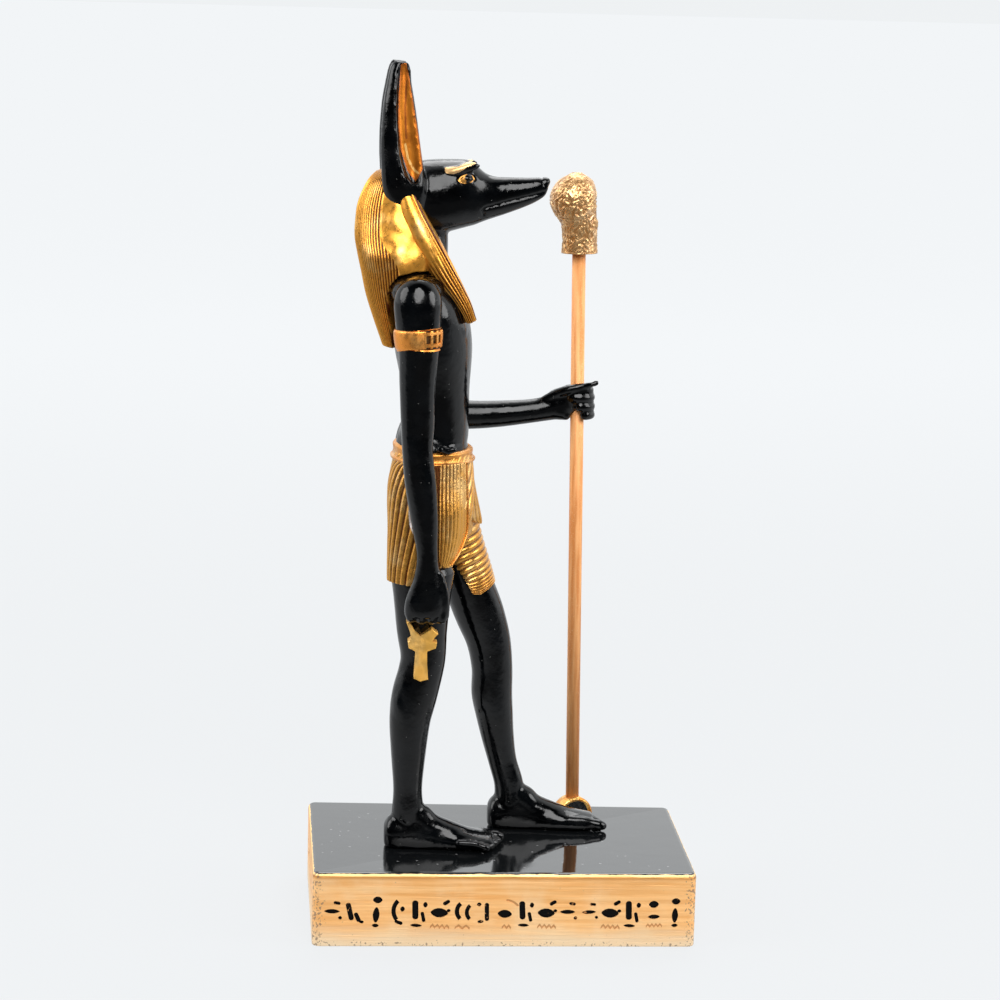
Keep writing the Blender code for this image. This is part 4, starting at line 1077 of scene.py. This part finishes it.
def gold_leaf(name, bright, deep, pale, pits=0.5, satin=(0.24, 0.44), grit=0.05):
    """Rubbed-on gold: bright on the ridges, deep in the grooves, and pale in clouds that gather on the
    ridges as a painted highlight. Pits is how spotty it is, satin its smoothest and its roughest gloss,
    and grit the height of its grains."""
    made, tree, shader = node_material(name)
    relief = marked(tree, "relief")
    grain = noise(tree, 2.2, 5)
    rubbed = plus(tree, relief, times(tree, minus(tree, grain, 0.5), pits))
    colour = blend(tree, ramp(tree, rubbed, 0.18, 0.85), deep, bright)
    # Painted highlight: pale clouds, placed at random and laid mostly on the ridges
    cloud = noise(tree, 0.16, 4)
    colour = blend(tree, times(tree, ramp(tree, cloud, 0.48, 0.72), ramp(
        tree, rubbed, 0.3, 0.8, 0.1, 0.6)), colour, pale)
    feed(tree, shader, Base_Color=colour)
    metal = ramp(tree, rubbed, 0.15, 0.75, 0.35, 0.78)
    feed(tree, shader, Metallic=metal)
    feed(tree, shader, Roughness=ramp(tree, noise(tree, 0.8, 4), 0.35, 0.65, *satin))
    emboss(tree, shader, plus(tree, grain, times(tree, noise(tree, 6.0, 3), 0.5)), grit)
    return made


def wig_shell(sides, fine):
    """The wig from its crown to its hem, which hangs low behind and stops short on the
    shoulders. It closes on the neck."""
    sections = between(WIG_SECTIONS, 6)

    def section(z):
        for high, low in zip(sections, sections[1:]):
            if low[0] <= z:
                t = (high[0] - z) / (high[0] - low[0])
                return [a + (b - a) * min(max(t, 0.0), 1.0) for a, b in zip(high, low)]
        return sections[-1]

    rings = [[] for _ in range(fine + 3)]
    tones = [[] for _ in range(fine + 3)]
    for k in range(sides):
        turn = 2 * math.pi * k / sides
        aside = abs((turn + math.pi) % (2 * math.pi) - math.pi)
        hem = np.interp(aside, *zip(*WIG_HEM_STEPS))
        strand = math.sin(WIG_STRANDS * turn / 2) ** 2
        for i in range(fine + 1):
            share = (i / fine) ** 0.8
            z = WIG_SECTIONS[0][0] + (hem - WIG_SECTIONS[0][0]) * share
            _, x, side, back = section(z)
            smooth_band = smooth_step(0.0, 0.05, aside - (1.04 + 0.36 * smooth_step(143, 135, z)))
            relief = strand + (1 - strand) * smooth_band
            lumps = field.noise(Vector((aside * 3.2 * math.copysign(1, math.sin(turn)), z * 0.30, 5.0)))
            cut = WIG_STRAND_DEPTH * (relief - 1) * smooth_step(0.0, 0.2, share) + 0.35 * lumps * smooth_band
            front = np.interp(z, *zip(*WIG_FRONT_LINE))
            rings[i].append(at(min(x - (back + cut) * math.cos(turn), front + 0.6 * math.sin(turn) ** 2),
                               (side + cut) * math.sin(turn), z))
            tones[i].append(relief)
        inner = max(back - WIG_THICKNESS, 1.0) / back
        rings[-2].append(at(x - back * inner * math.cos(turn), side * inner * math.sin(turn), hem))
        rings[-1].append(at(-21.4 - 2.0 * math.cos(turn), 2.0 * math.sin(turn), 141.0))
        tones[-2].append(0.5)
        tones[-1].append(0.5)
    return skin("wig", rings, tones)


def lappet_relief(turn, share):
    """Smooth where the lappet leaves the face, stranded from its middle down."""
    strand = abs(math.sin(10 * turn)) ** 1.5
    return strand + (1 - strand) * (1 - smooth_step(0.30, 0.50, share))


def line_on(rows, turn, proud, steps=12):
    """The line that runs down a limb's skin at one turn, standing proud of it."""
    line = []
    for _, middle, side, front, across, upright in sections_of(rows, steps):
        aside, ahead_of = math.sin(turn) * (side + proud), math.cos(turn) * (front + proud)
        line.append(at(*(middle + across * aside - upright * ahead_of)))
    return line


def piping_tree():
    """Geometry nodes: a round bar along a line, with closed ends."""
    tree, given = geometry_tree("piping", Radius="Float", Spacing="Float")
    path = add_node(tree, "GeometryNodeMeshToCurve", {0: given["Geometry"]})
    even = add_node(tree, "GeometryNodeResampleCurve", {
        "Curve": path.outputs[0], "Length": given["Spacing"]}, mode="LENGTH")
    section = add_node(tree, "GeometryNodeCurvePrimitiveCircle", {
        "Resolution": 12, "Radius": given["Radius"]})
    bar = add_node(tree, "GeometryNodeCurveToMesh", {
        "Curve": even.outputs[0], "Profile Curve": section.outputs[0], "Fill Caps": True})
    return end_tree(tree, given, bar.outputs[0])


piping_nodes = piping_tree()


def piping(name, line, radius, material):
    """A thin raised line through a few places."""
    path = bpy.data.meshes.new(name)
    path.from_pydata(line, [(k, k + 1) for k in range(len(line) - 1)], [])
    made = grown(name, piping_nodes, {"Radius": radius, "Spacing": 0.4 * MM, "Material": material}, path)
    shape = bmesh.new()
    shape.from_mesh(made.data)
    made.data = mesh_of(name, shape)
    return made


wig_gold = gold_leaf("wig_gold", (0.80, 0.36, 0.05), (0.09, 0.016, 0.0015), (0.95, 0.66, 0.26), pits=0.25,
                     satin=(0.26, 0.38), grit=0.025)
finished(wig_shell(640, 60), wig_gold)
for name, rows, front_turn, way in (
        ("lappet_right", mirrored(WIG_LAPPET), 234, 1), ("lappet_left", WIG_LAPPET, 126, -1)):
    lappet = limb(name, rows, sides=240, steps=14, relief=lappet_relief, deep=0.3)
    finished(lappet, wig_gold)
    for part, shift in (("rim", 0.0), ("edge", 0.20)):
        line = line_on(rows, math.radians(front_turn) - way * shift, 0.05)
        bar = piping(name + "_" + part, line, 0.26 * MM, wig_gold)
        if part == "edge":
            mark(bar.data, "relief", np.zeros(len(bar.data.vertices)))
        finished(bar, wig_gold)

# The kilt: pleated cloth cast in one with the hips and painted gold. It wraps the right thigh in
# long pleats and the left thigh in level bands, under a rolled belt.
KILT_HIPS = [
    (-17.5, 0.5, 92.5, 11.3, 8.7), (-17.5, 0.5, 89.0, 12.1, 9.2), (-17.7, 0.5, 84.0, 12.9, 9.7),
    (-17.4, 1.0, 79.0, 13.0, 10.0), (-17.2, 1.0, 74.0, 12.6, 9.6), (-17.0, 1.0, 71.5, 11.6, 8.4),
]
KILT_REAR_LEG = [
    (-17.5, -1.5, 92.5, 10.4, 9.1), (-17.5, -1.8, 89, 11.0, 9.6), (-17.8, -3.2, 84, 10.6, 10.1),
    (-18.0, -5.0, 78, 9.8, 9.9), (-19.0, -6.5, 71, 8.4, 8.9), (-19.8, -7.3, 66, 7.7, 8.1),
    (-20.2, -7.6, 62.6, 7.6, 7.6),
]
KILT_REAR_LEG_STEP = 5.0
KILT_FRONT_LEG = [
    (-15.0, 6.2, 80, 7.4, 7.8), (-11.6, 7.3, 70, 7.2, 6.9), (-8.4, 8.0, 62, 6.8, 6.3),
    (-7.5, 8.2, 59.2, 6.7, 6.2),
]
# Where the left wrap's hem lies: how much higher at each turn round the leg
KILT_FRONT_HEM = [(0, 9.0), (90, 0.3), (180, -0.6), (210, -0.7), (230, -1.0), (250, -1.5),
                  (270, -0.4), (290, 4.1), (310, 8.1), (330, 9.5), (360, 9.0)]
BELT = [
    (-17.4, 0, 90.8, 12.0, 9.2), (-17.4, 0, 91.1, 12.7, 9.75), (-17.4, 0, 91.7, 12.8, 9.85),
    (-17.4, 0, 92.2, 12.3, 9.4), (-17.4, 0, 93.2, 12.1, 9.2), (-17.4, 0, 94.3, 12.2, 9.3),
    (-17.4, 0, 95.0, 11.7, 8.8), (-17.4, 0, 95.2, 10.9, 8.2),
]
# The apron and the tab in front: rows from the belt down, each of four places x, y, z
APRON = [
    (-16.3, -13.2, 91.4, -14.2, -12.7, 91.4, -12.0, -11.2, 91.4, -9.9, -8.9, 91.4),
    (-16.4, -14.2, 86, -14.2, -13.6, 86, -11.9, -12.1, 86, -9.7, -9.4, 86),
    (-16.4, -15.4, 80, -14.1, -14.8, 80, -11.8, -13.2, 80, -9.5, -10.0, 80),
    (-16.4, -15.8, 75, -14.2, -15.2, 75, -12.0, -13.5, 75, -9.7, -10.6, 75),
    (-16.3, -15.9, 71, -14.7, -15.5, 70.6, -13.1, -14.4, 70.4, -11.5, -12.6, 70.8),
    (-16.0, -15.8, 69.0, -15.2, -15.5, 68.3, -14.3, -15.0, 68.0, -13.3, -14.3, 68.4),
]
TAB = [
    (-10.8, -8.6, 91.4, -8.9, -3.0, 91.4, -8.9, 4.0, 91.4, -11.0, 9.0, 91.4),
    (-9.8, -8.2, 87, -8.0, -2.6, 87, -8.0, 3.8, 87, -9.8, 8.2, 87),
    (-9.0, -7.4, 83, -7.2, -2.2, 83, -7.2, 3.4, 83, -8.8, 7.2, 83),
    (-8.4, -6.4, 79, -6.3, -1.6, 79, -6.3, 3.0, 79, -7.6, 6.0, 79),
    (-8.2, -5.0, 77.2, -5.8, -1.2, 76.6, -5.8, 2.6, 76.6, -6.8, 5.0, 77.2),
    (-7.2, -3.6, 76.4, -5.7, -0.8, 75.6, -5.7, 2.2, 75.6, -6.4, 4.0, 76.4),
]
CHIP = [
    (-23.3, 81.2), (-22.6, 80.6), (-21.7, 78.0), (-20.0, 75.6), (-19.8, 74.0), (-21.7, 74.4), (-23.0, 77.4),
]


def stepped_hem(turn, share):
    """The wrap over the right thigh hangs lower behind than in front."""
    return KILT_REAR_LEG_STEP * smooth_step(0.0, 0.35, -math.cos(turn)) * smooth_step(0.3, 1.0, share)


def front_hem(turn, share):
    high = np.interp(math.degrees(turn) % 360, *zip(*KILT_FRONT_HEM))
    return high * share ** 2


def front_bands(turn, share):
    """Level bands round the thigh, which the slanting hem cuts across."""
    along = share - front_hem(turn, share) / 22
    return abs(math.sin(math.pi * 17 * along)) ** 0.6


def belt_rise(turn, share):
    """The belt dips at the sides and behind."""
    return -1.4 * share * (1 - max(0.0, -math.cos(turn)) ** 2)


def wrap_pleats(turn, share):
    """Long pleats that slant back from the belt and then hang straight, uneven in depth."""
    slanted = turn + 1.0 * (1 - share) ** 2
    pleat = abs(math.sin(15 * slanted)) ** 0.9
    uneven = 0.5 + 0.5 * field.noise(Vector((math.cos(slanted) * 6, math.sin(slanted) * 6, share * 2)))
    return pleat + (1 - pleat) * 0.6 * smooth_step(0.5, 0.8, uneven)


def hip_pleats(turn, share):
    return abs(math.sin(28 * (turn + 0.3 * share))) ** 0.8


def panel(name, rows, thick, relief, deep, middle=(-17.5, -2.0)):
    """A sheet of cloth with pleats that run down it, thickened towards the middle (x, y)."""
    fine_rows = between(rows, 16)
    front, back, tone = [], [], []
    for i, row in enumerate(fine_rows):
        places = between([row[0:3], row[3:6], row[6:9], row[9:12]], 40)
        v = i / (len(fine_rows) - 1)
        near_line, far_line, tone_line = [], [], []
        for k, place in enumerate(places):
            u = k / (len(places) - 1)
            place = Vector(place)
            inward = (Vector((*middle, place.z)) - place).normalized()
            height = relief(u, v)
            edge = min(1.0, min(u, 1 - u) / 0.03)
            near_line.append(at(*(place + inward * (deep * (1 - height) + 0.35 * (1 - edge)))))
            far_line.append(at(*(place + inward * thick)))
            tone_line.append(height)
        front.append(near_line)
        back.append(far_line)
        tone.append(tone_line)
    rings = [near + list(reversed(far)) for near, far in zip(front, back)]
    tones = [line + [0.3] * len(line) for line in tone]
    return skin(name, rings, tones)


def apron_pleats(u, v):
    """Eight pleats that fade out towards the right and the hem, between a raised edge each side."""
    if u > 0.95:
        return 1.0
    pleat = abs(math.sin(math.pi * 8 * u)) ** 0.7
    fade = smooth_step(0.40, 1.20, u + 0.75 * v)
    return pleat + (1 - pleat) * 0.8 * fade


def tab_folds(u, v):
    return 0.25 + 0.75 * abs(math.sin(math.pi * 9 * u + 1.5 * v)) ** 0.8


def wrapped_gold(name, base):
    """The kilt's gold, with the chip beside the arm where pale resin shows."""
    made = base.copy()
    made.name = name
    tree = made.node_tree
    shader = tree.nodes["Principled BSDF"]
    chip = ramp(tree, marked(tree, "chip"), -0.05, 0.08)
    for key, bare in (("Base Color", (0.72, 0.66, 0.64)), ("Metallic", 0.0), ("Roughness", 0.6)):
        painted = shader.inputs[key].links[0].from_socket
        mix = blend if key == "Base Color" else mixed
        tree.links.new(mix(tree, chip, painted, bare), shader.inputs[key])
    return made


kilt_gold = gold_leaf("kilt_gold", (0.66, 0.32, 0.06), (0.08, 0.018, 0.002), (0.86, 0.60, 0.27), pits=0.3,
                      satin=(0.18, 0.34), grit=0.03)
belt_gold = gold_leaf("belt_gold", (0.64, 0.26, 0.045), (0.20, 0.05, 0.007), (0.78, 0.50, 0.22))
# Painted shadow: near-black gold for the deep strip beside the arm
shade_gold = gold_leaf("shade_gold", (0.16, 0.045, 0.008), (0.03, 0.008, 0.002), (0.30, 0.12, 0.03))
kilt_pieces = (
    limb("kilt_hips", KILT_HIPS, sides=448, steps=8, relief=hip_pleats, deep=0.45),
    limb("kilt_rear_leg", KILT_REAR_LEG, sides=504, steps=10, relief=wrap_pleats, deep=0.55,
         rise=stepped_hem),
    limb("kilt_front_leg", KILT_FRONT_LEG, sides=160, steps=56, relief=front_bands, deep=0.45,
         rise=front_hem),
    panel("kilt_apron", APRON, 3.0, apron_pleats, 0.4),
    panel("kilt_tab", TAB, 4.0, tab_folds, 0.5, middle=(-18.5, 1.0)),
)
wrap_places = places_of(kilt_pieces[1].data)
mark(kilt_pieces[1].data, "chip", np.where(
    wrap_places[:, 1] < -8, inside(wrap_places[:, (0, 2)], CHIP), -1.0))
wrap_gold = wrapped_gold("wrap_gold", kilt_gold)
for piece in kilt_pieces:
    finished(piece, wrap_gold if piece.name == "kilt_rear_leg" else kilt_gold)
# The strip between the arm and the apron lies deep; its near-black gold is painted shadow
shade = panel("kilt_shade", [
    (-18.6, -13.6, 91.2, -17.8, -13.5, 91.2, -17.0, -13.3, 91.2, -16.2, -13.1, 91.2),
    (-18.4, -15.3, 80, -17.7, -15.2, 80, -16.9, -15.1, 80, -16.2, -15.0, 80),
    (-18.2, -15.8, 72, -17.5, -15.8, 72, -16.8, -15.8, 72, -16.1, -15.7, 72),
    (-18.0, -15.8, 67, -17.3, -15.8, 67, -16.6, -15.8, 67, -15.9, -15.7, 67.4),
], 2.0, tab_folds, 0.3)
finished(shade, shade_gold)
finished(limb("belt", BELT, sides=160, steps=10, rise=belt_rise), belt_gold)
apron_edge = [at(*row[9:12]) + Vector((0.05, -0.15, 0)) * MM for row in between(APRON, 6)]
finished(piping("apron_edge", apron_edge, 0.22 * MM, belt_gold), belt_gold)

# The armbands: a flat copper-gold band round each upper arm, cast on, with a lattice of nine
# square holes sunk into its front part.
ARMBAND_HEIGHTS = (118.8, 122.6)
ARMBAND_PROUD = 0.55
LATTICE_TURNS = (math.radians(-76), math.radians(-22))


def armband(name, rows, way):
    """A band round an arm. Way is 1 on the left arm and -1 on the right, to mirror the lattice."""
    low, high = ARMBAND_HEIGHTS
    stations = between(rows, 12)

    def section(height, proud):
        near = min(stations, key=lambda row: abs(row[2] - height))
        return near[0], near[1], height, near[3] + proud, near[4] + proud

    def lattice(turn, share):
        """Nine square holes in the front part, between raised bars."""
        turn = (way * turn + math.pi) % (2 * math.pi) - math.pi
        u = (-turn - LATTICE_TURNS[0]) / (LATTICE_TURNS[1] - LATTICE_TURNS[0]) * 3
        v = (share - 0.15) / 0.7 * 3
        if not (0 < u < 3 and 0 < v < 3):
            return 0.86 if -0.25 < u < 0 or 3 < u < 3.25 else 1.0
        return 0.0 if abs(u % 1 - 0.5) < 0.30 and abs(v % 1 - 0.5) < 0.30 else 1.0

    return limb(name, [
        section(low, -0.3), section(low + 0.1, ARMBAND_PROUD), section(high - 0.1, ARMBAND_PROUD),
        section(high, -0.3)], sides=360, steps=12, relief=lattice, deep=0.5)


copper_gold = gold_leaf(
    "copper_gold", (0.80, 0.30, 0.05), (0.02, 0.005, 0.001), (0.86, 0.46, 0.14), pits=0.3, grit=0.03)
for name, rows, way in (("armband_right", RIGHT_ARM, -1), ("armband_left", LEFT_UPPER_ARM, 1)):
    finished(armband(name, rows, way), copper_gold, smooth=False)

# The ankh that hangs from the right fist, flat against the leg: its stem and arms, cast on and
# painted gold. The loop goes up into the hand.
ANKH = [
    (-23.3, 55.2), (-22.6, 55.6), (-21.4, 53.0), (-20.1, 51.9), (-17.5, 53.9), (-16.0, 52.6),
    (-17.8, 50.9), (-16.2, 50.6), (-16.5, 49.2), (-18.7, 48.7), (-18.1, 41.9), (-19.9, 41.4),
    (-21.4, 42.1), (-21.0, 48.7), (-22.7, 49.2), (-22.9, 50.7), (-21.9, 51.7),
]
ANKH_NEAR, ANKH_FAR = -16.1, -12.5
ankh_shape = bmesh.new()
ankh_loops = [[ankh_shape.verts.new(at(x, y, z)) for x, z in ANKH] for y in (ANKH_NEAR, ANKH_FAR)]
for k in range(len(ANKH)):
    n = (k + 1) % len(ANKH)
    ankh_shape.faces.new((ankh_loops[0][k], ankh_loops[0][n], ankh_loops[1][n], ankh_loops[1][k]))
ankh_shape.faces.new(ankh_loops[0])
ankh_shape.faces.new(list(reversed(ankh_loops[1])))
near_edges = [e for e in ankh_shape.edges if all(v in ankh_loops[0] for v in e.verts)]
bmesh.ops.bevel(ankh_shape, geom=near_edges, offset=0.22 * MM, segments=3, profile=0.6, affect="EDGES")
ankh_gold = gold_leaf("ankh_gold", (0.92, 0.50, 0.10), (0.60, 0.26, 0.04), (0.95, 0.66, 0.28), pits=0.3,
                      satin=(0.36, 0.52))
finished(object_of("ankh", mesh_of("ankh", ankh_shape)), ankh_gold, smooth=False)

# The staff: a straight steel rod painted copper gold. It stands in the lug, leans back a little
# and passes through the left fist.
ROD_START = 2.6 * MM
ROD_END = 145.2 * MM


def round_bar(name, radius, start, end, sides):
    shape = bmesh.new()
    bmesh.ops.create_cone(
        shape, cap_ends=True, segments=sides, radius1=radius, radius2=radius, depth=end - start)
    place = Matrix.Translation(staff_axis((start + end) / 2)) @ Matrix.Rotation(-STAFF_LEAN, 4, "Y")
    bmesh.ops.transform(shape, matrix=place, verts=shape.verts)
    return object_of(name, mesh_of(name, shape))


def rod_paint():
    """Copper gold brushed along the rod, with fine grains."""
    made, tree, shader = node_material("rod_paint")
    brushed = noise(tree, 1.2, 5, stretch=(1, 1, 0.06))
    grain = noise(tree, 4.0, 4)
    colour = blend(tree, ramp(tree, brushed, 0.35, 0.65), (0.73, 0.27, 0.072), (0.92, 0.44, 0.165))
    colour = blend(tree, ramp(tree, grain, 0.55, 0.72, 0, 0.6), colour, (0.95, 0.64, 0.34))
    feed(tree, shader, Base_Color=colour)
    feed(tree, shader, Metallic=ramp(tree, grain, 0.3, 0.7, 0.10, 0.35))
    feed(tree, shader, Roughness=ramp(tree, brushed, 0.3, 0.7, 0.42, 0.58))
    emboss(tree, shader, grain, 0.05)
    return made


finished(round_bar("rod", STAFF_RADIUS, ROD_START, ROD_END, 64), rod_paint(), "staff_rod")

# The knob: crumpled pale gold foil over a round head and a short neck, pushed onto the staff's
# top. Its folds come from fixed noise, sunk and raised along the skin.
KNOB_BASE = 137.5 * MM
KNOB_LENGTH = 19.0 * MM
KNOB_ROWS = [
    (0.1, 0, 0.00, 4.1, 4.3), (0.1, 0, 0.16, 4.0, 4.1), (0.0, 0, 0.36, 4.2, 4.4),
    (-0.9, 0, 0.48, 4.7, 5.0), (-1.5, 0, 0.62, 5.1, 5.5), (-1.4, 0, 0.76, 4.9, 5.3),
    (-1.0, 0, 0.90, 3.5, 4.0), (-0.7, 0, 1.00, 1.0, 1.1),
]
KNOB_SIDES = 160
knob_rings, knob_tones = [], []
for x, y, share, side, front in between(KNOB_ROWS, 14):
    ring, tone = [], []
    for k in range(KNOB_SIDES):
        turn = 2 * math.pi * k / KNOB_SIDES
        way = Vector((front * math.cos(turn), side * math.sin(turn), share * 19))
        drift = [field.noise(way * 0.45 + Vector((9.3, -1.7, 5.1)) * axis) for axis in range(3)]
        swirl = way + Vector(drift) * 1.6
        folds = 1 - abs(field.noise(swirl * 0.75)) * 2
        fine = 1 - abs(field.noise(swirl * 1.7 + Vector((7, 3, 1)))) * 2
        crumbs = field.noise(way * 3.4)
        height = 0.45 * folds + 0.35 * fine + 0.07 * crumbs + 0.08
        reach = 1 + 0.11 * (height - 0.62) * smooth_step(0.0, 0.03, share)
        local = Vector(((x + front * reach * math.cos(turn)) * MM, side * reach * math.sin(turn) * MM,
                        share * KNOB_LENGTH))
        ring.append(staff_axis(KNOB_BASE) + Matrix.Rotation(-STAFF_LEAN, 3, "Y") @ local)
        tone.append(max(0.0, min(1.0, height * 1.5 - 0.25)))
    knob_rings.append(ring)
    knob_tones.append(tone)
foil_gold = gold_leaf("foil_gold", (0.74, 0.45, 0.20), (0.34, 0.16, 0.05), (0.90, 0.66, 0.46), pits=0.5,
                      satin=(0.18, 0.38), grit=0.04)
finished(skin("knob", knob_rings, knob_tones), foil_gold, "staff_knob")
